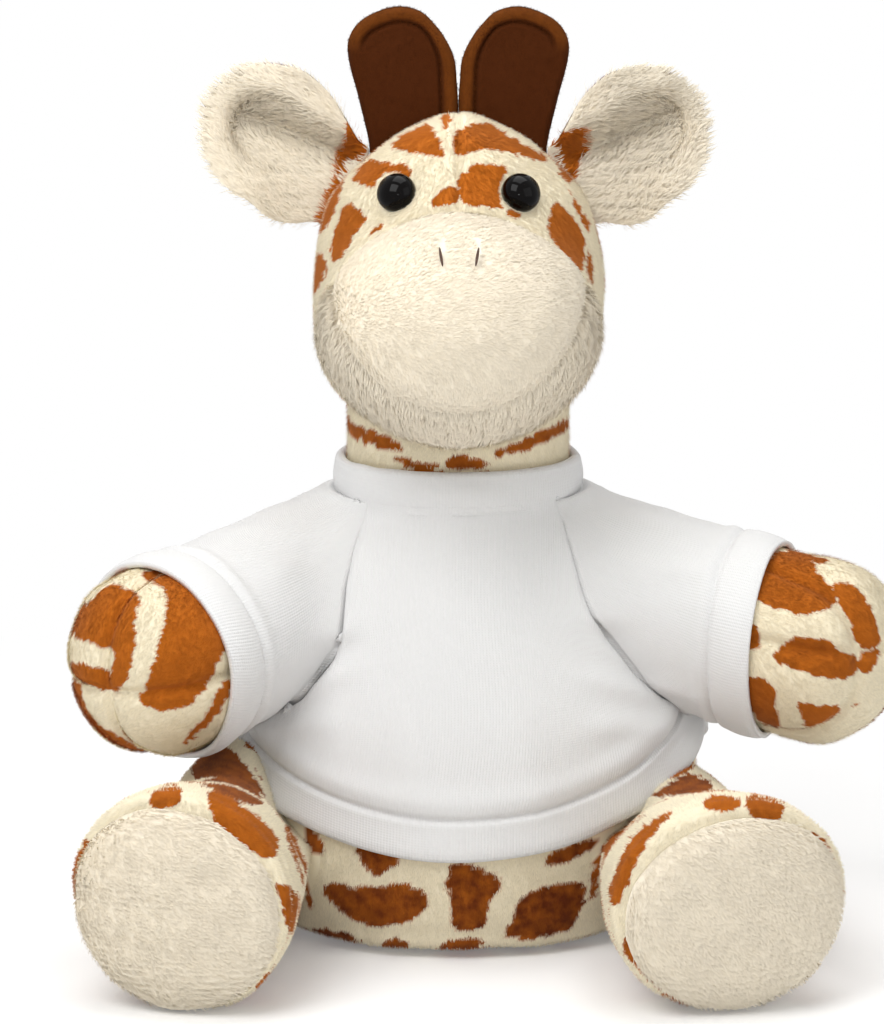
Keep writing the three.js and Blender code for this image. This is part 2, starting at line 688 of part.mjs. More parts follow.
// Leg with its sole and filling, trimmed to the body and the shirt over the range of the hip
function makeLeg(parent, side) {
  const pivot = hip(side);
  const group = bodyGroup(`${side}_leg`, parent, pivot);
  const widest = vector(sides[side] * foot.aside, -foot.forward, leg.height);
  const along = widest.clone().sub(pivot);
  const length = along.length();
  along.normalize();
  const rows = [
    ...ballRows(leg.rootRadius, leg.rootRadius, leg.rootHeight),
    [0, leg.rootRadius, leg.rootHeight, leg.rootHeight],
    ...sections(legShares, length, foot.radius, foot.radius, foot.radius),
    ...sections(soleShares, foot.sole, foot.radius, foot.radius, foot.radius).map((row) =>
      row.with(0, row[0] + length),
    ),
  ];
  const where = place(pivot, along, upward);
  const kept = ball(pivot, leg.rootRadius, leg.rootHeight);
  const inwards = [Math.min(0, -sides[side] * legInwards), Math.max(0, -sides[side] * legInwards)];
  const bodyTrims = swept(torsoForm(clearance), pivot, upward, inwards);
  const shirtReach = shirt.ease + shirt.cloth + shirt.doubled + clearance;
  const shirtTrims = swept(torsoForm(shirtReach), pivot, upward, inwards);
  const hems = sweep(inwards).map(() => underHem(-clearance));
  const trims = [...bodyTrims, ...shirtTrims.map((trim, i) => trim.subtract(hems[i]))];
  const takes = trims.map((trim) => trim.subtract(kept));
  const form = (grow) => solid(puff(rows, { grow }).applyMatrix4(where));
  const shell = cut(form(0), form(-skinWall), below(0), ...takes);
  const seam = widest.clone().addScaledVector(along, foot.sole * soleSeamShare);
  const ahead = beyond(place(seam, along, upward));
  const aheadLess = beyond(place(seam.clone().addScaledVector(along, clearance), along, upward));
  const inward = along.clone().negate();
  const mouth = beyond(place(pivot.clone().addScaledVector(along, -legMouth), inward, upward));
  addPiece(group, `${side}_leg_skin`, cut(shell, ahead, mouth), materials.spotted);
  addPiece(group, `${side}_sole`, shell.intersect(aheadLess), materials.cream);
  const filling = cut(form(-skinWall - clearance), ...takes);
  addPiece(group, `${side}_leg_stuffing`, filling, materials.filling);
}

// Tail with a felt tuft over its end
function makeTail(parent) {
  const group = bodyGroup("tail", parent, tailPivot);
  const slope = radians(tail.slope);
  const along = vector(0, Math.cos(slope), -Math.sin(slope));
  const where = place(tailPivot, along, upward);
  const trims = swept(torsoForm(clearance), tailPivot, upward, [-tailRange, tailRange]);
  const cord = (grow) => {
    const rows = sections(tailShares, tail.length, tail.radius, tail.radius, tail.radius);
    return cut(solid(puff(rows, { around: leafAround, grow }).applyMatrix4(where)), ...trims);
  };
  addPiece(group, "tail", cord(0), materials.spotted);
  const brush = puff(sections(tuftShares, tuft.length, tuft.radius, tuft.radius, tuft.radius), {
    around: leafAround,
  });
  const tip = solid(brush.translate(0, 0, tuft.start).applyMatrix4(where));
  addPiece(group, "tail_tuft", cut(tip, cord(clearance)), materials.felt);
}

// Shirt body in a front and a back panel, sewn at the sides, with a doubled hem, and the collar
function makeShirt(group) {
  const outer = shirt.ease + shirt.cloth;
  const collarBottom = torso.top + collar.lift;
  const hemBand = solid(torsoForm(outer + shirt.doubled)).intersect(underHem(shirt.hemBand));
  const panels = cut(
    join(solid(torsoForm(outer)), hemBand),
    solid(torsoForm(shirt.ease)),
    underHem(0),
    above(collarBottom - clearance),
    ...rootRooms(ballAround),
  );
  const seam = (y) => beyond(place(vector(0, y, 0), backward, upward));
  addPiece(group, "shirt_front_panel", cut(panels, seam(sideSeamBack)), materials.jersey);
  addPiece(group, "shirt_back_panel", panels.intersect(seam(sideSeamBack + clearance)), materials.jersey);
  const inner = neck.radius + clearance;
  const edge = inner + collar.thickness;
  const ring = [
    [inner, collarBottom],
    [edge, collarBottom],
    [edge, collarBottom + collar.height - collar.round],
    [edge - collar.round, collarBottom + collar.height],
    [inner, collarBottom + collar.height],
    [inner, collarBottom],
  ];
  addPiece(group, "collar_band", solid(turned(ring)), materials.jersey);
}

const torsoGroup = bodyGroup("torso", giraffe, vector(0, 0, 0));
makeTorso(torsoGroup);
makeShirt(torsoGroup);
const neckGroup = bodyGroup("neck", torsoGroup, vector(0, 0, torso.top));
makeNeck(neckGroup);
const headGroup = bodyGroup("head", neckGroup, vector(0, 0, neck.nodHeight));
makeHead(headGroup);
for (const side of Object.keys(sides)) {
  makeEar(headGroup, side);
  makeHorn(headGroup, side);
  makeArm(torsoGroup, side);
  makeLeg(torsoGroup, side);
}
makeTail(torsoGroup);

export default giraffe;
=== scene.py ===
"""A seated plush giraffe in a white jersey shirt: plush, felt and cloth over the packed frame.

Lengths inside this file are in millimetres in the frame's axes, and become metres when a mesh is made.
"""

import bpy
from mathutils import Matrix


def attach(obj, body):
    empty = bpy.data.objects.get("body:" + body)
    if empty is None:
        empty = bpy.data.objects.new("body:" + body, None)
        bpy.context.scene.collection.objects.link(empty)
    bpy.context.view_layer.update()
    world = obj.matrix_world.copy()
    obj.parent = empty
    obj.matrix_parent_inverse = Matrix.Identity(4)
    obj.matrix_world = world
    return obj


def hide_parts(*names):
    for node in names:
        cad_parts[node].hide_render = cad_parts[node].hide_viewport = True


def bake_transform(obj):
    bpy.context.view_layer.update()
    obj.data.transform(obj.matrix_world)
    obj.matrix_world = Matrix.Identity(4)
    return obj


bl_info = {
    "name": "Plush Giraffe",
    "version": (1, 0, 0),
    "blender": (4, 2, 0),
    "location": "View3D > Sidebar > Giraffe",
    "description": "Sews a seated plush giraffe and its shirt over a jointed frame",
    "category": "Add Mesh",
}

import bpy
import numpy as np

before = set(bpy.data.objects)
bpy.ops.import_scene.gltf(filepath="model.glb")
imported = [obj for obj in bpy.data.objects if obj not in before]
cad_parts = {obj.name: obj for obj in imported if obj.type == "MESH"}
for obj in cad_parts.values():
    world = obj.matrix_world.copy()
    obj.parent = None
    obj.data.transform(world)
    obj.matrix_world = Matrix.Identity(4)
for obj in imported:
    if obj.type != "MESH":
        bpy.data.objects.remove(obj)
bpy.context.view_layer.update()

MM = 0.001
TAU = 2 * np.pi
UP = np.array([0.0, 0.0, 1.0])
BACK = np.array([0.0, 1.0, 0.0])
SIDES = {"right": -1, "left": 1}
HALVES = {"front": -1, "back": 1}

# ---------------------------------------------------------------- sizes of the soft forms, as in the frame

TORSO = dict(height=101.5, half_width=47.5, front=39, back=38, pressed=0.5)
TORSO_SHARES = [
    [0, 0, 0, 0], [0.013, 0.7, 0.82, 0.72], [0.06, 0.865, 0.945, 0.88], [0.16, 0.965, 0.985, 0.96],
    [0.3, 1, 1, 1], [0.429, 0.96, 0.97, 0.965], [0.56, 0.835, 0.875, 0.86], [0.7, 0.655, 0.735, 0.715],
    [0.83, 0.49, 0.59, 0.61], [0.93, 0.45, 0.55, 0.563], [1, 0, 0, 0],
]
NECK_RADIUS, NOD_HEIGHT, NECK_BOTTOM = 22.0, 103.0, 84.0
HEAD = dict(bottom=100.5, height=62, half_width=28, front=26, back=27, forward=5)
HEAD_SHARES = [
    [0, 0, 0, 0], [0.032, 0.57, 0.6, 0.57], [0.1, 0.82, 0.84, 0.82], [0.22, 0.97, 0.97, 0.96],
    [0.4, 1.01, 1.01, 1.01], [0.58, 0.99, 0.985, 0.98], [0.74, 0.865, 0.885, 0.87],
    [0.87, 0.59, 0.66, 0.66], [0.955, 0.28, 0.37, 0.37], [0.99, 0, 0, 0],
]
MUZZLE = dict(length=53, half_width=27.3, half_height=22.8, rise=23.5, back=4, droop=4, join=5.0)
MUZZLE_SHARES = [
    [0, 0, 0, 0], [0.075, 0.72, 0.7, 0.7], [0.3, 0.95, 0.96, 0.96], [0.53, 1, 1, 1],
    [0.7, 0.935, 0.92, 0.92], [0.83, 0.79, 0.775, 0.775], [0.93, 0.56, 0.54, 0.54],
    [0.985, 0.27, 0.26, 0.26], [1, 0, 0, 0],
]
FACE_SEAM = dict(forward=26, rise=24.5, tilt=9.9, depth=0.8)
CHIN_SEAM = dict(radius=24.5, rise=34, depth=0.5, width=1.2)
NOSE_COMB = dict(rise=26, reach=14)
EYE = dict(aside=11.9, rise=47.9, radius=3.85, height=3.2, shank=1.2, under=3.2, flange=0.9, lifted=0.3,
           dimple=4.6)
NOSTRIL = dict(aside=3.3, rise=38, length=5.4, half_width=0.27, half_depth=0.5, raised=0.9, thread=0.42)
EAR = dict(aside=23.3, rise=50, lift=30, length=34, root=4, half_width=14.2, front=1.3, back=2.6, cup=5)
EAR_FOLD = dict(root_spread=0.6, lower_curl=1.6, valley=3.0, bowl=1.2, lobe=2.4, roll=1.5, back_rim=1.2)
EAR_SCALES = {"right": [0.97, 1, 0.98], "left": [0.97, 1, 0.93]}
EAR_SHARES = [
    [0, 0, 0, 0], [0.03, 0.45, 0.9, 0.9], [0.118, 0.52, 1, 1], [0.26, 0.72, 1, 1], [0.38, 0.88, 1, 1],
    [0.53, 0.985, 1, 1], [0.65, 0.98, 1, 1], [0.8, 0.83, 0.95, 0.95], [0.92, 0.56, 0.8, 0.8], [1, 0, 0, 0],
]
HORN = dict(aside=9.5, rise=58.8, lean=7, length=33.5, root=10, half_width=10.3, cloth=1.9,
            roll=1.45, groove=2.95, stitch=1.7, base_spread=1.0, top_spread=2.2, corner=0.2)
HORN_FUZZ = dict(length=0.55, width=0.12, lean=58, spread=1.6)
HORN_SHARES = [
    [0, 0, 0, 0], [0.02, 0.78, 1, 1], [0.25, 0.82, 1, 1], [0.5, 0.91, 1, 1], [0.73, 1, 1, 1],
    [0.87, 0.9, 1, 1], [0.96, 0.58, 0.95, 0.95], [1, 0, 0, 0],
]
ARM = dict(aside=27, forward=2, height=67, root=17.4, radius=17.8, length=64)
ARM_SHARES = [
    [0, 0.978, 0.978, 0.978], [0.33, 0.955, 0.955, 0.955], [0.6, 0.985, 0.985, 0.985],
    [0.77, 0.985, 1, 1], [0.88, 0.83, 0.85, 0.85], [0.965, 0.48, 0.5, 0.5], [1, 0, 0, 0],
]
ARM_WAYS = {"right": (-0.656, -0.738, -0.164), "left": (0.92, -0.335, -0.199)}
HAND_POINTS = {"right": (-39.8, -47.5, -11.0), "left": (50.5, -31.0, -6.5)}
ARM_FLAT = dict(depth=5.0, none=9, full=18)
LEG = dict(aside=37, forward=18, height=21.8, root=14, width=12.9, low=15.5, right=17.0, left=11.2)
FOOT = dict(aside=50.3, shift=-0.8, forward=70, right=21.4, left=23.0, down=22.3, up=20.3, left_lower=1.3,
            sole=8.8, seam=3.2, seam_tilt=2.4)
# how legs lean out at the hip: share pinched on the inner side, share leant, and shifts in all and at the hip
SPLAY = dict(pinch=0.45, lean=0.36, shift=0.5, hip_shift=2.0)
LEG_SHARES = {
    "right": [[0.1, 0.6, 0.71, 0.84], [0.26, 0.63, 0.73, 0.82], [0.52, 0.73, 0.82, 0.8],
              [0.78, 0.89, 0.96, 0.9], [1, 1, 1, 1]],
    "left": [[0.1, 0.58, 0.71, 0.58], [0.26, 0.61, 0.73, 0.6], [0.52, 0.72, 0.82, 0.67],
             [0.78, 0.89, 0.96, 0.86], [1, 1, 1, 1]],
}
SOLE_SHARES = [[0.5, 0.9, 0.9, 0.9], [0.85, 0.58, 0.58, 0.58], [1, 0, 0, 0]]
TAIL = dict(root=34, height=13, length=27, radius=4, slope=9)
TAIL_SHARES = [
    [0, 0, 0, 0], [0.08, 0.95, 0.95, 0.95], [0.5, 0.9, 0.9, 0.9], [0.92, 0.75, 0.75, 0.75], [1, 0, 0, 0],
]
TUFT = dict(start=21, length=14, radius=5, strand=4.2, strand_width=0.35, density=9)
TUFT_SHARES = [
    [0, 0, 0, 0], [0.1, 0.7, 0.7, 0.7], [0.45, 0.75, 0.75, 0.75], [0.8, 0.45, 0.45, 0.45], [1, 0, 0, 0],
]
HEM = dict(peak=39.5, middle=-6, front_drop=19.5, back_drop=21, front_reach=35, back_reach=45, power=1.15,
           band=8.3, band_top=7.8)
CUFF = dict(fade=8.9, band_top=7.9, stitches=8.6)
COLLAR = dict(bottom=87.2, inner=22.3, height=7.2, thickness=2.2, sewn_under=0.6, swell=0.45, groove=0.45,
              front_drop=1.4, wave=0.25)
# the panels' cloth is joined over a reach, and drawn in under the collar by a cone of this share and slope
CLOTH = dict(join=9.0, cone_share=0.17, cone_slope=6, under_collar=0.5, cone_join=0.8)
SHIRT_TOP, SIDE_SEAM_Y, ARMPIT = 88.2, -1.0, dict(aside=46.9, height=44.2)
# the cloth's outer face over the plush, the sleeve's seam allowance, and how deep the parted form is buried
CLOTH_FACE, ALLOWANCE, BURIED = 1.7, 1.2, 14
# each sleeve's end along its arm, how much further it reaches below, and the heights between which it parts
SLEEVE_END = {"right": 46.5, "left": 38.8}
SLEEVE_TILT = {"right": 0.0, "left": 3.0}
PARTING = {"right": (52, 64), "left": (54, 66)}
# sleeve seams as rows of (height, distance aside), for each side at the front (-1) and at the back (1)
RAGLAN = {
    ("right", -1): [[88.2, 17.8], [80, 20.2], [72, 21.8], [66, 22.2], [62, 22.7], [58, 24.3], [54, 26.9],
                    [50, 30.2], [48, 32.8], [46.3, 36.6], [45, 46.2]],
    ("left", -1): [[88.2, 19.2], [78, 22.2], [70, 24.4], [66, 26.0], [62, 28.4], [58, 31.4], [54, 34.4],
                   [50, 37.8], [48, 39.4], [46.3, 42.2], [45, 46.2]],
    ("right", 1): [[88.2, 18.4], [78, 22.6], [70, 27], [66, 29.6], [62, 33.8], [58, 38.0], [54, 41.0],
                   [50, 43.6], [48, 44.6], [46.3, 45.4], [45, 46.2]],
}
RAGLAN["left", 1] = RAGLAN["right", 1]

# rows of each mesh along its piece, and points around it
ROWS = dict(body=150, neck=80, head=150, nose=120, chin=70, ear=110, horn=120, arm=140, leg=150, sole=80,
            tail=60, tuft=30, panel=130, sleeve=90, collar=110)
AROUND = dict(body=260, neck=240, eye=64, nostril=28, ear=110, horn=110, arm=230, tail=60, tuft=40,
              panel=220, sleeve=220, collar=320)
# seed of each pile; a side's number, -1 or 1, is added to the seed of a pair
SEEDS = dict(body=101, neck=111, head=121, nose=131, chin=132, ear_inner=141, ear_outer=151, horn=161,
             arm=171, leg=181, sole=191, tail=201, tuft=211)
# depth and width of the groove along a sewn seam
SEAM_DEPTH, SEAM_WIDTH = 0.9, 1.1

# ---------------------------------------------------------------- camera of the photograph

PHOTO_SIZE = (884, 1024)
LENS_PIXELS = 4500.0
LOOK_AT = np.array([-3.2, 0.0, 82.0])
CAMERA_DISTANCE, CAMERA_RISE, SENSOR = 900.0, 10.0, 36
WHITE = (1, 1, 1, 1)
FLOOR = dict(reach=2600.0, depth=-0.6)
LIT_POINT = (0, 0, 80)
# name, place, share of the key lamp's power, and size
LAMPS = [
    ("Key softbox", (-280, -430, 600), 1.0, 420),
    ("Fill softbox", (640, -520, 420), 0.36, 620),
    ("Top softbox", (40, 60, 900), 1.2, 600),
    ("Lamp by the lens", (-10, -860, 290), 0.16, 22),
]

# how dark the patches of each part are at least: their own tone together with painted shade, most on the
# belly in the shirt's shade and low down; and how far a surface faces the camera to take its outlines
PART_TONE_AND_PAINTED_SHADE = dict(head=0.15, neck=0.8, right_arm=0.2, left_arm=0.4, torso=1.3, right_leg=0.5, left_leg=0.6)

FACING_LEAST = 0.08

# Where the photograph shows plush, as outlines in its pixels: elsewhere the patches are a random lattice's
SEEN_PLUSH = [
    [(290, 90), (620, 90), (630, 470), (280, 470)], [(55, 540), (240, 540), (245, 765), (55, 765)],
    [(735, 535), (900, 535), (900, 755), (735, 755)],
    [(50, 1030), (50, 775), (184, 740), (222, 740), (270, 788), (312, 822), (354, 840), (476, 860),
     (560, 844), (640, 804), (700, 764), (745, 764), (870, 800), (870, 1030)],
]

# Patches of the plush that the front shows, as outlines in pixels of that camera's frame
FRONT_PATCHES = {
    "head": [
        [(387, 146), (418, 127), (428, 123), (437, 136), (448, 156), (445, 159), (421, 154), (400, 152)],
        [(441, 116), (452, 114), (451, 119), (447, 134), (442, 126)],
        [(451, 133), (483, 119), (511, 138), (547, 157), (547, 164), (517, 155), (490, 150), (469, 152),
         (454, 159)],
        [(348, 182), (370, 158), (378, 162), (406, 165), (412, 172), (408, 183), (400, 174), (387, 172),
         (376, 179), (374, 189), (359, 183)],
        [(345, 200), (368, 216), (365, 224), (352, 238), (350, 249), (331, 267), (330, 248), (337, 224)],
        [(457, 176), (476, 165), (497, 164), (508, 171), (498, 183), (500, 198), (503, 211), (483, 207),
         (458, 204)],
        [(427, 207), (442, 191), (454, 185), (458, 190), (458, 204)],
        [(366, 238), (377, 226), (386, 226), (374, 234)],
        [(503, 210), (519, 214), (524, 218), (511, 217)],
        [(553, 202), (563, 207), (580, 225), (585, 241), (584, 265), (582, 275), (566, 255), (548, 235),
         (548, 224)],
        [(587, 247), (593, 262), (593, 289), (586, 277)],
        [(311, 257), (321, 253), (327, 263), (327, 275), (318, 291), (310, 303)],
        [(318, 224), (332, 188), (340, 177), (345, 181), (336, 207), (328, 224), (322, 238)],
        [(563, 179), (571, 193), (581, 210), (590, 224), (590, 234), (581, 220)],
        [(345, 119), (361, 133), (369, 148), (352, 169), (340, 177), (334, 169), (346, 147)],
        [(549, 145), (554, 134), (581, 124), (586, 136), (573, 182), (567, 184), (558, 172)],
    ],
    "neck": [
        [(345, 408), (352, 425), (380, 433), (400, 444), (406, 450), (387, 449), (366, 444), (347, 435)],
        [(573, 415), (572, 427), (545, 443), (514, 457), (488, 456), (519, 442), (542, 431)],
        [(447, 454), (466, 455), (493, 466), (480, 471), (447, 471)],
        [(387, 456), (421, 461), (445, 467), (421, 471), (400, 464)],
    ],
    "right_arm": [
        [(113, 583), (127, 589), (144, 597), (133, 623), (138, 635), (132, 661), (122, 691), (106, 691),
         (113, 670), (117, 649), (94, 646), (75, 638), (71, 630), (77, 612), (95, 595)],
        [(75, 662), (93, 666), (111, 670), (111, 687), (106, 692), (83, 682), (68, 676), (67, 666)],
        [(67, 676), (83, 685), (83, 702), (98, 724), (124, 739), (152, 754), (127, 754), (103, 737),
         (78, 713), (69, 695)],
        [(139, 573), (158, 568), (179, 574), (198, 587), (216, 610), (228, 644), (222, 656), (211, 675),
         (199, 695), (190, 704), (170, 712), (146, 710), (135, 694), (146, 693), (150, 673), (159, 646),
         (166, 610), (166, 588), (153, 584)],
        [(230, 673), (231, 690), (218, 714), (198, 736), (179, 747), (195, 728), (207, 711), (215, 693)],
    ],
    "left_arm": [
        [(777, 550), (805, 550), (812, 562), (822, 577), (839, 598), (834, 606), (818, 614), (799, 614),
         (767, 606), (749, 597), (754, 581), (765, 561)],
        [(807, 551), (832, 562), (828, 563), (814, 566)],
        [(830, 584), (844, 583), (853, 585), (868, 602), (878, 628), (881, 645), (859, 651), (848, 622),
         (838, 600)],
        [(743, 620), (753, 624), (761, 634), (760, 652), (743, 648)],
        [(767, 660), (783, 646), (795, 635), (812, 638), (829, 641), (840, 654), (857, 654), (857, 674),
         (839, 679), (820, 677), (799, 670)],
        [(858, 653), (883, 646), (876, 668), (863, 675), (858, 668)],
        [(743, 673), (762, 679), (773, 685), (775, 695), (775, 711), (783, 728), (770, 727), (757, 718),
         (746, 695)],
        [(797, 700), (812, 706), (844, 704), (835, 719), (818, 724), (805, 729), (801, 715)],
        [(860, 699), (858, 706), (848, 711)],
    ],
    "torso": [
        [(351, 840), (412, 857), (376, 879), (366, 871)],
        [(319, 881), (346, 885), (361, 889), (387, 884), (417, 885), (431, 902), (412, 924), (376, 928),
         (351, 919), (330, 902)],
        [(444, 871), (455, 863), (483, 866), (505, 884), (489, 907), (486, 930), (455, 934), (449, 904)],
        [(519, 893), (580, 880), (589, 889), (580, 914), (563, 937), (501, 942), (512, 919)],
        [(540, 857), (602, 834), (596, 848), (552, 871)],
        [(302, 927), (346, 931), (369, 946), (325, 941)],
        [(380, 944), (392, 938), (411, 941), (407, 950), (387, 950)],
        [(434, 951), (453, 936), (491, 940), (468, 951)],
        [(300, 820), (321, 835), (326, 853), (309, 853)],
        [(194, 751), (228, 741), (269, 797), (256, 810), (228, 797), (190, 782)],
        [(662, 776), (693, 772), (721, 792), (672, 798), (644, 798)],
    ],
    "right_leg": [
        [(148, 808), (156, 788), (182, 783), (181, 805), (162, 810)],
        [(204, 788), (231, 797), (264, 822), (281, 844), (272, 862), (256, 853), (228, 835), (213, 820)],
        [(281, 825), (291, 828), (306, 868), (315, 904), (310, 910), (300, 879)],
        [(272, 880), (292, 886), (300, 904), (298, 924), (290, 941), (282, 904)],
        [(248, 990), (284, 957), (296, 958), (264, 988)],
        [(68, 884), (79, 848), (92, 837), (83, 873), (78, 905), (69, 905)],
    ],
    "left_leg": [
        [(699, 803), (718, 793), (746, 801), (736, 810), (716, 815)],
        [(744, 796), (774, 798), (789, 808), (769, 831), (756, 822), (746, 808)],
        [(791, 828), (815, 832), (830, 848), (833, 868), (815, 866), (797, 844)],
        [(637, 829), (681, 805), (647, 838), (621, 899), (611, 911), (608, 889), (619, 858)],
        [(592, 868), (610, 834), (658, 808), (626, 828), (606, 858), (593, 905), (589, 894)],
        [(621, 929), (637, 955), (672, 990), (695, 1010), (672, 1002), (637, 970), (623, 950)],
        [(837, 883), (846, 896), (846, 919), (837, 919)],
    ],
}

# ---------------------------------------------------------------- small helpers


def unit(vectors):
    """Each vector divided by its own length."""
    vectors = np.asarray(vectors, float)
    return vectors / np.maximum(np.linalg.norm(vectors, axis=-1, keepdims=True), 1e-9)


def dot(first, second):
    """Sum of the products of the three coordinates."""
    return np.einsum("...i,...i->...", first, second)


def ramp(values, low, high):
    """Smooth step: 0 below low, 1 above high, 3t^2 - 2t^3 between."""
    share = np.clip((values - low) / (high - low), 0, 1)
    return share * share * (3 - 2 * share)


def bell(distance, width):
    """Gaussian bump of height 1: e to the minus (distance / width) squared."""
    return np.exp(-((distance / width) ** 2))


def smaller(first, second, reach):
    """Smooth minimum: the lower value, less a quarter of (reach - gap)^2 / reach where they are close."""
    near = np.maximum(reach - np.abs(first - second), 0) / reach
    return np.minimum(first, second) - near * near * reach / 4


def spline(rows, steps=24):
    """Catmull-Rom curve through the rows; a row of no width is mirrored, which closes the form round."""
    rows = np.array(rows, float)
    mirror = np.r_[1, -np.ones(rows.shape[1] - 1)]
    first = rows[1] * mirror if rows[0][1] == 0 else rows[0]
    last = rows[-2] * mirror if rows[-1][1] == 0 else rows[-1]
    knots = np.vstack([first, rows, last])
    a, b, c, d = knots[:-3, None], knots[1:-2, None], knots[2:-1, None], knots[3:, None]
    t = np.linspace(0, 1, steps, endpoint=False)[None, :, None]
    curve = b + t / 2 * ((c - a) + t * ((2 * a - 5 * b + 4 * c - d) + t * (3 * b - a - 3 * c + d)))
    return np.vstack([curve.reshape(-1, rows.shape[1]), rows[-1]])


def sized(shares, along, half_width, front, back):
    """Rows of [along, half width, front, back] from their shares."""
    return np.array(shares, float) * [along, half_width, front, back]


def placed(origin, along, upward):
    """Origin and axes of a place: z runs along, y leans upward, x is y cross z."""
    z = unit(along)
    y = unit(np.asarray(upward) - np.dot(upward, z) * z)
    return np.array(origin, float), np.array([np.cross(y, z), y, z])


def outward(local, where):
    """Points of a place's own axes in the frame's."""
    return local @ where[1] + where[0]


def inward(points, where):
    """Points of the frame in a place's own axes."""
    return (points - where[0]) @ where[1].T


class Puff:
    """A stuffed form along its own z: ring points at (w cos a, f or b times sin a) on a curve of rows."""

    def __init__(self, rows, where):
        self.table = spline(rows)
        self.where = where
        self.along = np.maximum.accumulate(self.table[:, 0] + np.arange(len(self.table)) * 1e-6)

    def lengths(self):
        """Running length of the side line, from the rows' steps in z and in half width."""
        steps = np.hypot(np.diff(self.table[:, 0]), np.diff(self.table[:, 1]))
        return np.r_[0, np.cumsum(steps)]

    def sections(self, shares):
        """Along, half width, front and back at shares of the side line's length."""
        run = self.lengths()
        return [np.interp(shares * run[-1], run, column) for column in self.table.T]

    def grid(self, rows, around, low=0.0, high=1.0):
        """Points (rows, around, 3) at even steps of the side line and of the ring's angle."""
        share = low + (high - low) * np.linspace(0, 1, rows)[:, None]
        z, w, front, back = self.sections(np.broadcast_to(share, (rows, around)))
        angle = np.arange(around) * TAU / around
        depth = np.where(np.sin(angle) < 0, front, back)
        return outward(np.stack([w * np.cos(angle), depth * np.sin(angle), z], -1), self.where)

    def gap(self, points):
        """Distance out of the form: ring distance r (1 - 1/g) times the slope's cosine, g the ring share."""
        x, y, z = np.moveaxis(inward(points, self.where), -1, 0)
        w, front, back = (np.interp(z, self.along, column) for column in self.table.T[1:])
        w, depth = np.maximum(w, 0.4), np.maximum(np.where(y < 0, front, back), 0.4)
        share = np.maximum(np.sqrt((x / w) ** 2 + (y / depth) ** 2), 1e-3)
        slope = np.interp(z, self.along, np.gradient(self.table[:, 1], self.along))
        ring = np.hypot(x, y) * (1 - 1 / share) / np.sqrt(1 + np.clip(slope, -2.5, 2.5) ** 2)
        past = np.maximum(np.maximum(self.along[0] - z, z - self.along[-1]), 0)
        return np.where(past > 0, np.hypot(np.maximum(ring, 0), past), ring)


def gradient(field, points, step=0.05):
    """Way out of a field: its central differences along the three axes, at unit length."""
    offsets = np.eye(3) * step
    return unit(np.stack([field(points + o) - field(points - o) for o in offsets], -1))


def onto(field, points, rounds=6):
    """Newton steps down the field's gradient until the points lie on its zero."""
    for _ in range(rounds):
        points = points - 0.9 * field(points)[..., None] * gradient(field, points)
    return points


def grid_normals(grid, wrap):
    """Unit cross product of the grid's two tangents, out of the form."""
    across = (np.roll(grid, -1, 1) - np.roll(grid, 1, 1)) if wrap else np.gradient(grid, axis=1)
    normals = np.cross(across, np.gradient(grid, axis=0))
    for end, beside in ((0, 1), (-1, -2)):
        if np.linalg.norm(normals[end], axis=-1).max() < 1e-6 or np.ptp(grid[end], axis=0).max() < 1e-6:
            normals[end] = normals[beside].mean(0)
    return unit(normals)


def hashed(cells, seed):
    """Three even random numbers for each whole-number cell, by integer mixing."""
    cells = cells.astype(np.int64)
    mixed = cells[..., 0] * 73856093 ^ cells[..., 1] * 19349663 ^ cells[..., 2] * 83492791 ^ seed * 2654435
    drawn = []
    for salt in (11, 23, 37):
        value = (mixed * (salt * 2 + 1) + salt * 7919) & 0x7FFFFFFF
        value = (value ^ (value >> 13)) * 1274126177 & 0x7FFFFFFF
        drawn.append(((value ^ (value >> 16)) & 0xFFFFF) / 0xFFFFF)
    return np.stack(drawn, -1)


def wobble(points, size, seed):
    """Soft noise from -1 to 1: six sines of turned coordinates, of one wave length, multiplied in pairs."""
    turn = np.random.default_rng(seed).normal(size=(6, 3))
    a, b, c, d, e, f = np.moveaxis(np.sin(points @ (unit(turn) * TAU / size).T + np.arange(6)), -1, 0)
    return (a * b + c * d + e * f) / 1.5


# ---------------------------------------------------------------- the forms

TORSO_FORM = Puff(
    sized(TORSO_SHARES, TORSO["height"], TORSO["half_width"], TORSO["front"], TORSO["back"]),
    (np.array([0, 0, -TORSO["pressed"]]), np.eye(3)),
)
HEAD_FORM = Puff(
    sized(HEAD_SHARES, HEAD["height"], HEAD["half_width"], HEAD["front"], HEAD["back"]),
    (np.array([0, -HEAD["forward"], HEAD["bottom"]]), np.eye(3)),
)
DROOP = np.radians(MUZZLE["droop"])
MUZZLE_FORM = Puff(
    sized(MUZZLE_SHARES, *(MUZZLE[key] for key in ("length", "half_width", "half_height", "half_height"))),
    placed((0, -MUZZLE["back"], HEAD["bottom"] + MUZZLE["rise"]), (0, -np.cos(DROOP), -np.sin(DROOP)), UP),
)
SHOULDERS = {side: np.array([s * ARM["aside"], -ARM["forward"], ARM["height"]]) for side, s in SIDES.items()}
HIPS = {side: np.array([s * LEG["aside"], -LEG["forward"], LEG["height"]]) for side, s in SIDES.items()}


def ball_rows(along, half_width, down, up, steps=6):
    """The rear half of a ball root, from its pole up to the pivot: radius times sine and minus cosine."""
    angle = np.arange(steps) * np.pi / 2 / steps
    return np.column_stack([-along * np.cos(angle), np.sin(angle)[:, None] * [half_width, down, up]])


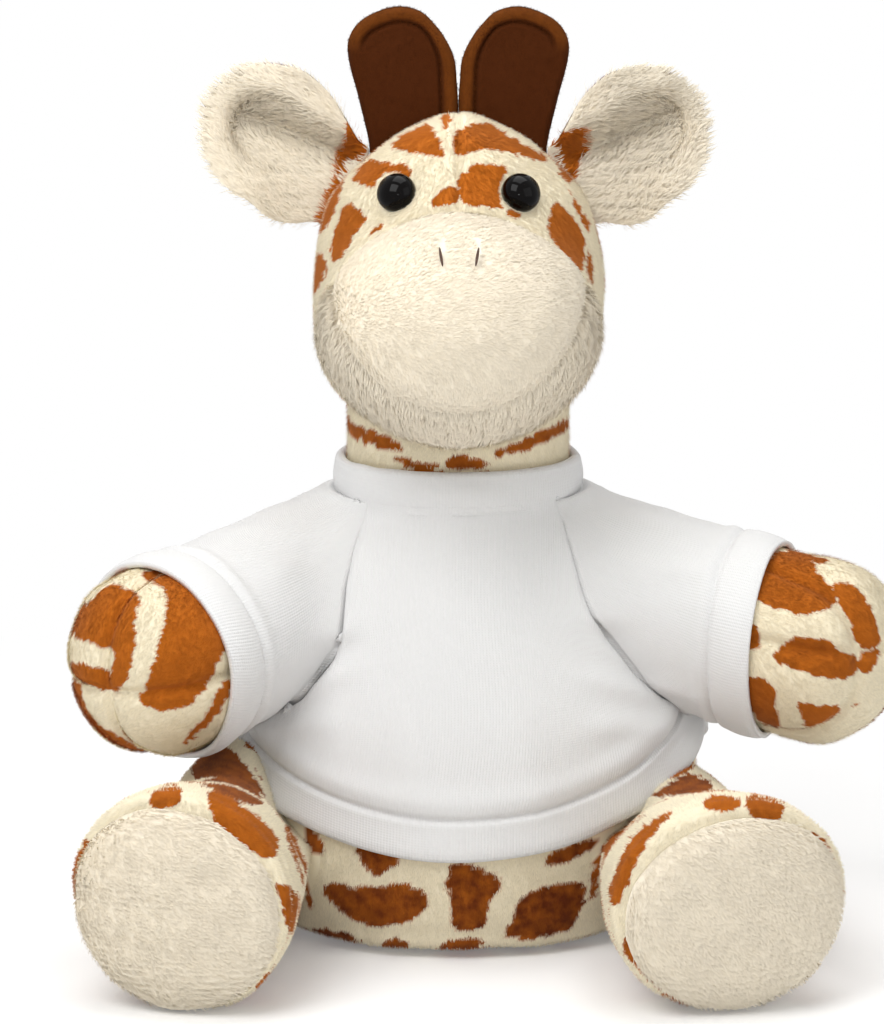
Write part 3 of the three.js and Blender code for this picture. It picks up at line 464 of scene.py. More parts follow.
def arm_form(side):
    """Arm: the ball of its root, then its rows out to the point of the hand."""
    rows = np.vstack([
        ball_rows(ARM["root"], ARM["root"], ARM["root"], ARM["root"]),
        sized(ARM_SHARES, ARM["length"], ARM["radius"], ARM["radius"], ARM["radius"]),
    ])
    return Puff(rows, placed(SHOULDERS[side], ARM_WAYS[side], UP))


def leg_form(side):
    """Leg and foot: the ball of its root, its rows out to the foot's widest ring, and the sole's rows."""
    widest = np.array([SIDES[side] * FOOT["aside"] + FOOT["shift"], -FOOT["forward"], LEG["height"]])
    length = np.linalg.norm(widest - HIPS[side])
    sizes = FOOT[side], FOOT["down"], FOOT["up"] - FOOT["left_lower"] * (side == "left")
    rows = np.vstack([
        ball_rows(LEG["root"], LEG["width"], LEG["low"], LEG[side]),
        [[0, LEG["width"], LEG["low"], LEG[side]]],
        sized(LEG_SHARES[side], length, *sizes),
        sized(SOLE_SHARES, FOOT["sole"], *sizes) + [length, 0, 0, 0],
    ])
    return Puff(rows, placed(HIPS[side], widest - HIPS[side], UP)), length


ARM_FORMS = {side: arm_form(side) for side in SIDES}
LEG_FORMS = {side: leg_form(side)[0] for side in SIDES}
LEG_LENGTH = leg_form("left")[1]
LEG_AROUND = 250


def head_field(points):
    """Distance out of head and muzzle together, joined softly."""
    return smaller(HEAD_FORM.gap(points), MUZZLE_FORM.gap(points), MUZZLE["join"])


def grounded(grid):
    """The grid with the points under the floor raised onto it."""
    grid[..., 2] = np.maximum(grid[..., 2], 0.0)
    return grid


def hem_height(y):
    """Height of the hem: its peak less the drop times (distance from the peak / reach) to the hem's power."""
    out = y - HEM["middle"]
    drop = np.where(out < 0, HEM["front_drop"], HEM["back_drop"])
    reach = np.where(out < 0, HEM["front_reach"], HEM["back_reach"])
    return HEM["peak"] - drop * (np.abs(out) / reach) ** HEM["power"]


def ray_lengths(field, origin, ways, far=90.0, rounds=26):
    """Distance from a point inside to the field's zero along each way, by halving."""
    low, high = np.zeros(ways.shape[:-1]), np.full(ways.shape[:-1], far)
    for _ in range(rounds):
        middle = (low + high) / 2
        inside = field(origin + ways * middle[..., None]) < 0
        low, high = np.where(inside, middle, low), np.where(inside, high, middle)
    return (low + high) / 2


# ---------------------------------------------------------------- patches of the spotted plush


def camera_place():
    """Where the camera stands: its distance back and up along the rise, from the point it looks at."""
    rise = np.radians(CAMERA_RISE)
    return LOOK_AT + CAMERA_DISTANCE * np.array([0, -np.cos(rise), np.sin(rise)])


def in_photo(points):
    """Pixels of the camera's frame: lens times the offset across and up, over the depth."""
    rise = np.radians(CAMERA_RISE)
    offset = points - camera_place()
    depth = dot(offset, np.array([0, np.cos(rise), -np.sin(rise)]))
    across = dot(offset, np.array([1.0, 0, 0]))
    up = dot(offset, np.array([0, np.sin(rise), np.cos(rise)]))
    middle = np.array(PHOTO_SIZE) / 2
    return np.stack([middle[0] + LENS_PIXELS * across / depth, middle[1] - LENS_PIXELS * up / depth], -1)


def rounded(outline, rounds=2):
    """Corner cutting: each edge is replaced by its points at a quarter and three quarters."""
    outline = np.array(outline, float)
    for _ in range(rounds):
        following = np.roll(outline, -1, 0)
        cut = [outline * 0.75 + following * 0.25, outline * 0.25 + following * 0.75]
        outline = np.stack(cut, 1).reshape(-1, 2)
    return outline


def within(pixels, outline):
    """True where a line to the right crosses the outline an odd number of times."""
    crossed = np.zeros(len(pixels), bool)
    for (x0, y0), (x1, y1) in zip(outline, np.roll(outline, -1, 0)):
        spans = (pixels[:, 1] > y0) != (pixels[:, 1] > y1)
        at = x0 + (pixels[:, 1] - y0) * (x1 - x0) / (y1 - y0 if y1 != y0 else 1e-9)
        crossed ^= spans & (pixels[:, 0] < at)
    return crossed


def random_cells(points, size, seed):
    """Distances to the two nearest of one random site in each lattice cube, and the nearest one's number."""
    at = points / size + 0.09 * np.stack([wobble(points, size * 1.1, seed + k) for k in range(3)], -1)
    corner = np.floor(at)
    nearest, second, number = np.full(len(at), 9.0), np.full(len(at), 9.0), np.zeros(len(at))
    for step in np.stack(np.meshgrid(*[[-1, 0, 1]] * 3), -1).reshape(-1, 3):
        drawn = hashed(corner + step, seed)
        distance = np.linalg.norm(corner + step + 0.15 + 0.7 * drawn - at, axis=1)
        closer = distance < nearest
        second = np.where(closer, nearest, np.minimum(second, distance))
        number = np.where(closer, drawn[:, 0], number)
        nearest = np.where(closer, distance, nearest)
    return nearest, second, number


def patch_paint(points, normals, name, settings, cells=True):
    """Spot (0 cream, 1 brown) and shade (0 to 1) of plush points.

    Towards the camera the outlines decide, and elsewhere cells of a random lattice with cream lanes between.
    """
    flat, out = points.reshape(-1, 3), normals.reshape(-1, 3)
    facing = dot(out, unit(camera_place() - flat))
    pixels = in_photo(flat)
    pixels = pixels + 1.6 * np.stack([wobble(flat, 3.2, 5), wobble(flat, 3.2, 6)], -1)
    nearest, second, number = random_cells(flat, settings.cell_size, sum(map(ord, name)))
    lanes = (second - nearest) * settings.cell_size > settings.lane_width
    seen = np.any([within(pixels, outline) for outline in SEEN_PLUSH], 0) & (facing > FACING_LEAST - 0.04)
    spot = (lanes & ~seen & cells).astype(float)
    shade = number.copy()
    outlines = [(PART_TONE_AND_PAINTED_SHADE[group], outline) for group, drawn in FRONT_PATCHES.items() for outline in drawn]
    for index, (dark, outline) in enumerate(outlines):
        inside = within(pixels, rounded(outline)) & (facing > FACING_LEAST) & seen
        spot = np.where(inside, 1.0, spot)
        # an outlined patch takes its part's level of own tone and painted shade, with a little random tone
        shade = np.where(inside, dark + 0.3 * ((index * 0.37 + 0.2) % 1), shade)
    return spot.reshape(points.shape[:-1]), shade.reshape(points.shape[:-1])


# ---------------------------------------------------------------- meshes


def grid_faces(rows, columns, wrap):
    """Four corners of each cell of a grid, in an order whose normal is across cross along."""
    row = np.arange(rows - 1)[:, None]
    column = np.arange(columns if wrap else columns - 1)[None]
    following = (column + 1) % columns
    corners = (row * columns + column, row * columns + following)
    return np.stack([*corners, corners[1] + columns, corners[0] + columns], -1).reshape(-1, 4)


def add_mesh(name, points, faces, material, attributes=None, uv=None, normals=None):
    """A mesh object at the origin, from points in millimetres."""
    mesh = bpy.data.meshes.new(name)
    mesh.from_pydata((np.asarray(points) * MM).tolist(), [], faces)
    for label, values in (attributes or {}).items():
        attribute = mesh.attributes.new(label, "FLOAT", "POINT")
        attribute.data.foreach_set("value", np.asarray(values, np.float32).ravel())
    if uv is not None:
        corners = np.empty(len(mesh.loops), np.int32)
        mesh.loops.foreach_get("vertex_index", corners)
        layer = mesh.uv_layers.new(name="Cloth")
        layer.data.foreach_set("uv", np.asarray(uv, np.float32).reshape(-1, 2)[corners].ravel())
    mesh.polygons.foreach_set("use_smooth", np.ones(len(mesh.polygons), bool))
    mesh.materials.append(material)
    mesh.update()
    if normals is not None:
        mesh.normals_split_custom_set_from_vertices(np.asarray(normals, float).tolist())
    made = bpy.data.objects.new(name, mesh)
    bpy.context.scene.collection.objects.link(made)
    return made


def add_grid(name, grid, material, wrap=True, attributes=None, uv=None):
    """A grid as a mesh; an end row that is a single point becomes one vertex with triangles."""
    rows, columns = grid.shape[:2]
    index = np.arange(rows * columns).reshape(rows, columns)
    for end in (0, -1):
        if np.ptp(grid[end], axis=0).max() < 1e-4:
            index[end] = index[end][0]
    faces = index.ravel()[grid_faces(rows, columns, wrap)]
    used, packed = np.unique(faces, return_inverse=True)
    packed = packed.reshape(faces.shape)
    pinched_low, pinched_high = packed[:, 0] == packed[:, 1], packed[:, 2] == packed[:, 3]
    plain = packed[~(pinched_low | pinched_high)].tolist()
    pointed = packed[pinched_low][:, [0, 2, 3]].tolist() + packed[pinched_high][:, [0, 1, 2]].tolist()
    picked = {label: np.asarray(values).ravel()[used] for label, values in (attributes or {}).items()}
    flat_uv = None if uv is None else uv.reshape(-1, 2)[used]
    return add_mesh(name, grid.reshape(-1, 3)[used], plain + pointed, material, picked, flat_uv)


def settle(grid, depth, wrap=True):
    """A grid moved along its own normals by a depth for each point."""
    return grid + grid_normals(grid, wrap) * np.asarray(depth)[..., None]


def scatter(grid, density, seed, wrap=True):
    """Random points of a grid, in number by the area of each cell, with the cells' blended normals."""
    draw = np.random.default_rng(seed)
    rows, columns = grid.shape[:2]
    faces = grid_faces(rows, columns, wrap)
    points, normals = grid.reshape(-1, 3), grid_normals(grid, wrap).reshape(-1, 3)
    a, b, c, d = (points[faces[:, k]] for k in range(4))
    areas = np.linalg.norm(np.cross(c - a, d - b), axis=1) / 2
    chosen = np.repeat(np.arange(len(faces)), draw.poisson(areas * density))
    u, v = draw.random((2, len(chosen), 1))
    weights = ((1 - u) * (1 - v), u * (1 - v), u * v, (1 - u) * v)
    blend = lambda values: sum(w * values[faces[chosen, k]] for k, w in enumerate(weights))
    return blend(points), unit(blend(normals)), draw


def add_pile(
    name, roots, out, comb, material, length, width, lean, draw, paint, clump=0.0, bends=1, spread=0.2,
):
    """Pile as small pointed blades.

    A blade starts at its root, leans from the normal towards the comb by the lean angle, and ends in a point.
    With clump, tips are drawn towards the middle of a jittered lattice cube; with bends 2, it curves over.
    """
    count = len(roots)
    tangent = unit(comb - dot(comb, out)[:, None] * out + 1e-6)
    beside = np.cross(tangent, out)
    turn = draw.normal(0, spread, (count, 1))
    tangent = tangent * np.cos(turn) + beside * np.sin(turn)
    angle = np.radians(lean + draw.normal(0, 9, (count, 1)))
    reach = length * draw.uniform(0.7, 1.15, (count, 1))
    way = out * np.cos(angle) + tangent * np.sin(angle)
    tips = roots + way * reach
    if clump:
        cube = np.floor(roots / clump)
        middle = (cube + 0.2 + 0.6 * hashed(cube, 7)) * clump
        middle = middle - dot(middle - roots, out)[:, None] * out
        tips = tips + 0.3 * (middle - roots)
    tips[:, 2] = np.maximum(tips[:, 2], 0.15)
    half = np.cross(tangent, out) * width / 2
    spot, shade = paint
    if bends == 1:
        points = np.concatenate([roots - half, roots + half, tips])
        faces = np.arange(3 * count).reshape(3, count).T.tolist()
        tip = np.repeat([0.0, 0.0, 1.0], count)
        shading = np.tile(out, (3, 1))
    else:
        middle = roots + 0.55 * (tips - roots) + out * reach * 0.14
        bend = half * 0.85
        points = np.concatenate([roots - half, roots + half, middle - bend, middle + bend, tips])
        k = np.arange(count)
        quads = np.stack([k, k + count, k + 3 * count, k + 2 * count], -1).tolist()
        faces = quads + np.stack([k + 2 * count, k + 3 * count, k + 4 * count], -1).tolist()
        tip = np.repeat([0.0, 0.0, 0.55, 0.55, 1.0], count)
        shading = np.tile(out, (5, 1))
    layers = len(points) // count
    shading = unit(shading + 0.15 * np.tile(way, (layers, 1)))
    # tip: painted shade at the root rising to painted light at the tip, with a random tone for each blade
    tip = 0.15 + 0.7 * tip + np.tile(draw.normal(0, 0.17, count), layers)
    attributes = {"spot": np.tile(spot, layers), "shade": np.tile(shade, layers), "tip": tip}
    return add_mesh(name, points, faces, material, attributes, normals=shading)


# ---------------------------------------------------------------- materials


def linear(code):
    """sRGB hex to linear RGBA: c / 12.92 up to 0.04045, else ((c + 0.055) / 1.055) to 2.4."""
    values = np.array([int(code[k : k + 2], 16) for k in (1, 3, 5)]) / 255
    low = values <= 0.04045
    return (*np.where(low, values / 12.92, ((values + 0.055) / 1.055) ** 2.4).tolist(), 1.0)


def hex_of(colour):
    """The hex code of a linear colour property."""
    values = np.clip(np.array(colour[:3]), 0, 1)
    values = np.where(values <= 0.0031308, values * 12.92, 1.055 * values ** (1 / 2.4) - 0.055)
    return "#" + "".join(f"{round(v * 255):02x}" for v in values)


def socket_of(sockets, key):
    """A socket by its place, or the one in use of that name."""
    return sockets[key] if isinstance(key, int) else next(s for s in sockets if s.name == key and s.enabled)


def add_node(tree, kind, links=None, **settings):
    """Adds a node with its settings; links gives each input a socket to read or a plain value."""
    node = tree.nodes.new(kind)
    for key, value in settings.items():
        setattr(node, key, value)
    for key, value in (links or {}).items():
        socket = socket_of(node.inputs, key)
        if isinstance(value, bpy.types.NodeSocket):
            tree.links.new(value, socket)
        else:
            socket.default_value = value
    return node


def new_material(name, **sockets):
    """A material with one Principled shader, whose plain numbers and colours are on its own sockets."""
    material = bpy.data.materials.new(name)
    material.use_nodes = True
    shader = material.node_tree.nodes["Principled BSDF"]
    for key, value in sockets.items():
        shader.inputs[key.replace("_", " ")].default_value = value
    return material, material.node_tree, shader


def add_math(tree, operation, *values):
    """Result of a Math node for its values in order."""
    return add_node(tree, "ShaderNodeMath", dict(enumerate(values)), operation=operation).outputs[0]


def mixed_colour(tree, share, first, second):
    """Result of a Mix node between two colours."""
    mix = add_node(tree, "ShaderNodeMix", {"Factor": share, "A": first, "B": second}, data_type="RGBA")
    return socket_of(mix.outputs, "Result")


def noise(tree, scale, detail):
    """Noise over the object's own coordinates, of a scale per metre."""
    place = add_node(tree, "ShaderNodeTexCoord").outputs["Object"]
    sockets = {"Vector": place, "Scale": scale, "Detail": detail}
    return add_node(tree, "ShaderNodeTexNoise", sockets).outputs["Fac"]


def add_bump(tree, shader, strength, depth_mm, height):
    """Bends the shader's normal by a height."""
    sockets = {"Strength": strength, "Distance": depth_mm * MM, "Height": height}
    tree.links.new(add_node(tree, "ShaderNodeBump", sockets).outputs["Normal"], shader.inputs["Normal"])


def plush_material(name, ground, patch, patch_dark, root_light=0.84, tip_light=1.12, sheen=0.06):
    """Knitted-back polyester pile: matt, a little sheen at grazing angles, darker down between the fibres."""
    material, tree, shader = new_material(
        name, Roughness=0.95, Sheen_Weight=sheen, Sheen_Roughness=0.6, Sheen_Tint=linear("#fff4e0"),
        Specular_IOR_Level=0.15,
    )
    spot, shade, tip = (
        add_node(tree, "ShaderNodeAttribute", attribute_name=label).outputs["Fac"]
        for label in ("spot", "shade", "tip")
    )
    # streaks of dye a few millimetres long, as printed pile shows, as deep as the shade attribute, which on
    # some parts' patches also holds painted shade
    depth = add_math(tree, "MULTIPLY", shade, noise(tree, 420.0, 3.0))
    brown = mixed_colour(tree, depth, linear(patch), linear(patch_dark))
    base = mixed_colour(tree, spot, linear(ground), brown)
    # painted shade at the roots and painted light at the tips: the tip attribute maps to a brightness from
    # root_light to tip_light that multiplies the colour
    light = add_node(tree, "ShaderNodeMapRange", {"Value": tip, "To Min": root_light, "To Max": tip_light})
    pair = {0: base, 1: light.outputs["Result"]}
    colour = add_node(tree, "ShaderNodeVectorMath", pair, operation="MULTIPLY").outputs["Vector"]
    tree.links.new(colour, shader.inputs["Base Color"])
    return material


def rough_cloth(name, code, roughness, sheen, grain_mm, grain_depth_mm):
    """Matt fibre stuff of one colour with a fine grain: noise of the grain's size as a shallow bump."""
    material, tree, shader = new_material(
        name, Roughness=roughness, Sheen_Weight=sheen, Sheen_Roughness=0.5, Base_Color=linear(code),
        Specular_IOR_Level=0.2,
    )
    add_bump(tree, shader, 1.0, grain_depth_mm, noise(tree, 1 / (grain_mm * MM), 2.0))
    return material


def knitted_jersey(name, code, wale_mm, course_mm, depth_mm):
    """White cotton jersey, single knit: fine upright ribs of stitches a wale apart, broken at every course.

    The real knit is finer than the picture shows, so wales and courses are drawn about twice as coarse.
    """
    material, tree, shader = new_material(
        name, Roughness=0.9, Sheen_Weight=0.15, Sheen_Roughness=0.5, Base_Color=linear(code),
        Specular_IOR_Level=0.2,
    )
    cloth = add_node(tree, "ShaderNodeUVMap", uv_map="Cloth")
    axes = add_node(tree, "ShaderNodeSeparateXYZ", {0: cloth.outputs["UV"]})
    wales, courses = (
        add_math(tree, "SINE", add_math(tree, "MULTIPLY", axes.outputs[axis], TAU / pitch))
        for axis, pitch in (("X", wale_mm), ("Y", course_mm))
    )
    loops = add_math(tree, "MULTIPLY_ADD", courses, 0.45, wales)
    height = add_math(tree, "MULTIPLY_ADD", noise(tree, 900.0, 2.0), 2.0, loops)
    add_bump(tree, shader, 0.6, depth_mm, height)
    return material


def polished_plastic(name, code):
    """Moulded black ABS with a polished face: sharp small highlights over a near-black body."""
    return new_material(name, Roughness=0.05, IOR=1.5, Specular_IOR_Level=0.1, Base_Color=linear(code))[0]


def material_named(name, make, *values, **settings):
    """The material of that name, made once."""
    return bpy.data.materials.get(name) or make(name, *values, **settings)


def spotted_plush(settings):
    """Short plush with printed patches."""
    codes = map(hex_of, (settings.ground, settings.patch, settings.patch_dark))
    return material_named("Spotted pile plush", plush_material, *codes)


def cream_plush(settings):
    """Long cream plush, evenly light."""
    codes = map(hex_of, (settings.cream, settings.patch, settings.patch_dark))
    return material_named("Long cream pile plush", plush_material, *codes, root_light=0.9, tip_light=1.03)


def dark_felt(_):
    """Felt whose light share is the rubbed brown of rolled edges."""
    looks = dict(root_light=0.78, tip_light=1.2, sheen=0.0)
    return material_named("Dark brown wool felt", plush_material, "#4c2204", "#7a4210", "#2a1203", **looks)


def white_jersey(settings):
    """The shirt's jersey."""
    return material_named("White cotton jersey", knitted_jersey, hex_of(settings.cloth), 0.62, 0.5, 0.045)


# how the cloth of each padded piece's slot is made
CLOTHS = {"spotted_plush": spotted_plush, "cream_plush": cream_plush, "felt": dark_felt}


# ---------------------------------------------------------------- fitting a piece to the frame


def fit(piece, body, replaced=()):
    """The piece moves with a body, takes its finish from a slot, and stands for the solids it replaces."""
    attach(piece, body)
    if replaced:
        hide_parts(*replaced)
    return piece


def sew(settings, name, grid, slot, body, replaced, look, wrap=True):
    """A padded piece of a slot's cloth from its grid and the look of its points, on a body."""
    return fit(add_grid(name, grid, CLOTHS[slot](settings), wrap, look), body, replaced)


def short_pile(name, grid, body, paint_name, keep, comb, settings, seed, wrap=True, crowd=1.0):
    """Short spotted pile over a grid, where keep allows it, brushed along comb."""
    roots, out, draw = scatter(grid, settings.short_density * crowd, seed, wrap)
    kept = keep(roots)
    roots, out = roots[kept], out[kept]
    way = comb(roots)
    # a blade takes the colour of the print under its middle, not at its root
    middle = roots + 0.45 * settings.short_length / MM * unit(way - dot(way, out)[:, None] * out + 1e-6)
    paint = patch_paint(middle, out, paint_name, settings)
    pile = add_pile(
        name, roots, out, way, spotted_plush(settings), settings.short_length / MM,
        settings.fibre_width / MM, 56, draw, paint,
    )
    return fit(pile, body)


def long_pile(
    name, grid, body, keep, comb, settings, seed, wrap=True, clump=2.2, share=1.0, lean=60, print_name="",
):
    """Long cream pile over a grid, in clumps, with blades that bend over; print_name gives it patches."""
    roots, out, draw = scatter(grid, settings.long_density, seed, wrap)
    kept = keep(roots)
    roots, out = roots[kept], out[kept]
    paint = (np.zeros(len(roots)),) * 2
    if print_name:
        paint = patch_paint(roots, out, print_name, settings, cells=False)
    pile = add_pile(
        name, roots, out, comb(roots), cream_plush(settings), settings.long_length / MM * share,
        settings.fibre_width / MM * 1.15, lean, draw, paint, clump=clump, bends=2,
    )
    return fit(pile, body)


def everywhere(points):
    """True for each point."""
    return np.ones(len(points), bool)


def towards(direction):
    """A comb of one direction for all points."""
    return lambda points: np.tile(np.array(direction, float), (len(points), 1))


def painted(name, grid, settings, wrap=True, cells=True):
    """Spot and shade attributes of a grid."""
    spot, shade = patch_paint(grid, grid_normals(grid, wrap), name, settings, cells=cells)
    return {"spot": spot, "shade": shade, "tip": np.full(spot.shape, 0.25)}


def plain(grid, spot=0.0, tip=0.25):
    """Attributes of a grid of one colour."""
    flat = np.ones(grid.shape[:2])
    return {"spot": flat * spot, "shade": flat * 0.5, "tip": flat * tip}


def lipped(grid, depth, low=False, high=False, wrap=True):
    """The grid with an edge row turned in by a depth, as a seam allowance is."""
    normals = grid_normals(grid, wrap)
    rows = [grid]
    if low:
        rows.insert(0, grid[:1] - normals[:1] * depth)
    if high:
        rows.append(grid[-1:] - normals[-1:] * depth)
    return np.concatenate(rows)


# ---------------------------------------------------------------- body and neck


def turned_grid(profile, around, where=(np.zeros(3), np.eye(3))):
    """A profile of (radius, height) turned about the place's z: (r cos a, r sin a, h)."""
    profile = np.array(profile, float)[:, None]
    angle = np.arange(around) * TAU / around
    radius, height = profile[..., 0], profile[..., 1]
    local = np.stack([radius * np.cos(angle), radius * np.sin(angle), height + 0 * angle], -1)
    return outward(local, where)


def even_line(points, count):
    """A line resampled at even steps of its length."""
    points = np.asarray(points, float)
    run = np.r_[0, np.cumsum(np.linalg.norm(np.diff(points, axis=0), axis=1))]
    at = np.linspace(0, run[-1], count)
    return np.column_stack([np.interp(at, run, column) for column in points.T])


def make_body(settings):
    """Body of spotted plush: the torso form with a flat seat and a soft unevenness of its filling."""
    grid = TORSO_FORM.grid(ROWS["body"], AROUND["body"])
    grid = grounded(settle(grid, 0.3 * wobble(grid, 26, 3)))
    replaced = ("body_skin", "body_stuffing", "pellet_pouch")
    sew(settings, "body_plush", grid, "spotted_plush", "torso", replaced,
        painted("torso", grid, settings))

    def shown(points):
        """True off the floor, clear of the legs and below the shirt's hem."""
        clear = np.minimum(*(form.gap(points) for form in LEG_FORMS.values())) > 0.3
        return clear & (points[:, 2] > 1.2) & (points[:, 2] < hem_height(points[:, 1]) + 5)

    short_pile("body_pile", grid, "torso", "torso", shown, towards((0, 0, -1)), settings,
               SEEDS["body"])


def make_neck(settings):
    """Neck of spotted plush: a straight tube under a dome that the head nods on."""
    angle = np.linspace(0, np.pi / 2, 24)
    dome = np.column_stack([NECK_RADIUS * np.cos(angle), NOD_HEIGHT + NECK_RADIUS * np.sin(angle)])
    tube = [[0, NECK_BOTTOM], [NECK_RADIUS - 1, NECK_BOTTOM], [NECK_RADIUS, NECK_BOTTOM + 1]]
    grid = turned_grid(even_line(np.vstack([tube, dome]), ROWS["neck"]), AROUND["neck"])
    sew(settings, "neck_plush", grid, "spotted_plush", "neck", ("neck_skin", "neck_stuffing"),
        painted("neck", grid, settings))
    shown = lambda points: (points[:, 2] > 90) & (points[:, 2] < 107)
    short_pile("neck_pile", grid, "neck", "neck", shown, towards((0, 0, -1)), settings,
               SEEDS["neck"])


# ---------------------------------------------------------------- head, nose and chin

FACE_MIDDLE = np.array([0.0, -12.0, 126.0])
FACE_AROUND = 300
FACE_TURNS = np.pi / 2 + np.arange(FACE_AROUND) * TAU / FACE_AROUND


def face_ways(polar, turns):
    """Directions from the middle of the head: sin p (cos t, 0, sin t) and cos p to the back."""
    polar, turns = np.broadcast_arrays(polar, turns)
    return np.stack([np.sin(polar) * np.cos(turns), np.cos(polar), np.sin(polar) * np.sin(turns)], -1)


def face_points(polar, turns):
    """Where those directions leave head and muzzle."""
    ways = face_ways(polar, turns)
    return FACE_MIDDLE + ways * ray_lengths(head_field, FACE_MIDDLE, ways)[..., None]


def ahead_of_seam(points):
    """Distance in front of the tilted plane of the face seam."""
    tilt = np.radians(FACE_SEAM["tilt"])
    rise = points[..., 2] - HEAD["bottom"] - FACE_SEAM["rise"]
    return -(points[..., 1] + FACE_SEAM["forward"]) * np.cos(tilt) - rise * np.sin(tilt)


def inside_window(points):
    """Distance inside the nose panel's outline: a half circle below, upright sides above."""
    drop = np.minimum(points[..., 2] - HEAD["bottom"] - CHIN_SEAM["rise"], 0)
    return CHIN_SEAM["radius"] - np.hypot(points[..., 0], drop)


def crossing(values, polar):
    """The polar angle at which each column's values turn positive for good, by linear steps."""
    last = len(values) - 1 - np.argmax(values[::-1] < 0, axis=0)
    last = np.minimum(last, len(values) - 2)
    low, high = (np.take_along_axis(values, (last + k)[None], 0)[0] for k in (0, 1))
    step = polar[1] - polar[0]
    never = ~(values < 0).any(axis=0)
    return np.where(never, polar[0], polar[last] + step * np.clip(-low / (high - low), 0, 1))


def face_seams():
    """Polar angles of the face seam and of the chin seam for each turn."""
    polar = np.linspace(0.02, np.pi - 0.02, 360)
    points = face_points(polar[:, None], FACE_TURNS[None])
    face = crossing(ahead_of_seam(points), polar)
    chin = crossing(inside_window(points), polar)
    return face, np.maximum(chin, face)


def between(low, high, rows, turns=slice(None)):
    """Grid of the face from one polar angle to another, for some of the turns."""
    share = np.linspace(0, 1, rows)[:, None]
    low = np.broadcast_to(low, FACE_TURNS.shape)[turns]
    high = np.broadcast_to(high, FACE_TURNS.shape)[turns]
    return face_points(low + (high - low) * share, FACE_TURNS[turns][None])


def eye_places():
    """Where each eye sits on the head, with its axis out of the cloth."""
    places = {}
    for side, s in SIDES.items():
        start = np.array([s * EYE["aside"], -HEAD["forward"], HEAD["bottom"] + EYE["rise"]])
        way = np.array([0.0, -1.0, 0.0])
        seat = start + way * ray_lengths(head_field, start, way)
        places[side] = placed(seat, gradient(head_field, seat), UP)
    return places


def clear_of_eyes(points, places, radius):
    """True for points farther from each eye's seat than a radius."""
    return np.all([np.linalg.norm(points - where[0], axis=1) > radius for where in places.values()], axis=0)


def make_head(settings):
    """Head of spotted plush behind the face seam, with a seam down the forehead and dimples at the eyes."""
    face, _ = face_seams()
    grid = between(0.0, face, ROWS["head"])
    places = eye_places()
    front = grid[..., 1] < 0
    seam = 0.5 * bell(grid[..., 0] + 0.3, 0.8) * front * ramp(grid[..., 2], 138, 146)
    edge = SEAM_DEPTH * bell(ahead_of_seam(grid), SEAM_WIDTH)
    from_seats = [np.linalg.norm(grid - where[0], axis=-1) for where in places.values()]
    sunk = sum(SEAM_DEPTH * bell(distance, EYE["dimple"]) for distance in from_seats)
    grid = settle(grid, 0.25 * wobble(grid, 19, 8) - seam - edge - sunk)
    skin = lipped(grid, 1.8, high=True)
    sew(settings, "head_plush", skin, "spotted_plush", "head", ("head_skin", "head_stuffing"),
        painted("head", skin, settings))
    shown = lambda points: clear_of_eyes(points, places, EYE["radius"] + 0.1)
    short_pile("head_pile", grid, "head", "head", shown, towards((0, 0.35, -1)), settings,
               SEEDS["head"], crowd=1.15)


def panel_dip(grid):
    """How far a cream panel sinks along the chin seam and along the face seam."""
    chin = CHIN_SEAM["depth"] * bell(inside_window(grid), CHIN_SEAM["width"])
    return chin + FACE_SEAM["depth"] * bell(ahead_of_seam(grid), SEAM_WIDTH)


def make_muzzle(settings):
    """Nose panel and chin panel of long cream pile, sewn along the round chin seam and the face seam."""
    face, chin = face_seams()
    nose = between(chin, np.pi, ROWS["nose"])
    nose = settle(nose, 0.2 * wobble(nose, 15, 9) - 0.3 - panel_dip(nose))
    skin = lipped(nose, 1.5, low=True)
    sew(settings, "nose_panel_plush", skin, "cream_plush", "head", ("nose_panel",), plain(skin))

    def outwards(points):
        """Sideways on the nose's upper part, turning down below it."""
        rise = np.clip((points[:, 2] - HEAD["bottom"] - NOSE_COMB["rise"]) / NOSE_COMB["reach"], -1, 1)
        low = rise < 0
        return np.column_stack([np.where(low, 1 + rise, 1), 0.3 * rise, np.where(low, rise, 0.35 * rise)])

    def beside_stitches(points):
        """True where no nostril stitch lies."""
        across = np.abs(np.abs(points[:, 0]) - NOSTRIL["aside"])
        rise = np.abs(points[:, 2] - HEAD["bottom"] - NOSTRIL["rise"] - 0.4)
        return (across > 0.55) | (rise > NOSTRIL["length"] / 2 + 0.2)

    long_pile("nose_panel_pile", nose, "head", beside_stitches, outwards, settings, SEEDS["nose"], clump=0,
              share=0.45, lean=70)
    wide = np.flatnonzero(chin - face > 0.006)
    lower = between(face, chin, ROWS["chin"], slice(wide[0], wide[-1] + 1))
    below = ramp(-grid_normals(lower, False)[..., 2], -0.1, 0.9)
    lower = settle(lower, -0.5 - 1.5 * below - panel_dip(lower), wrap=False)
    skin = lipped(lower, 1.5, low=True, high=True, wrap=False)
    sew(settings, "chin_panel_plush", skin, "cream_plush", "head", ("chin_panel",), plain(skin),
        wrap=False)
    down = lambda points: points * [0.012, 0, 0] + [0, -0.25, -1]
    long_pile("chin_panel_pile", lower, "head", everywhere, down, settings, SEEDS["chin"], wrap=False)


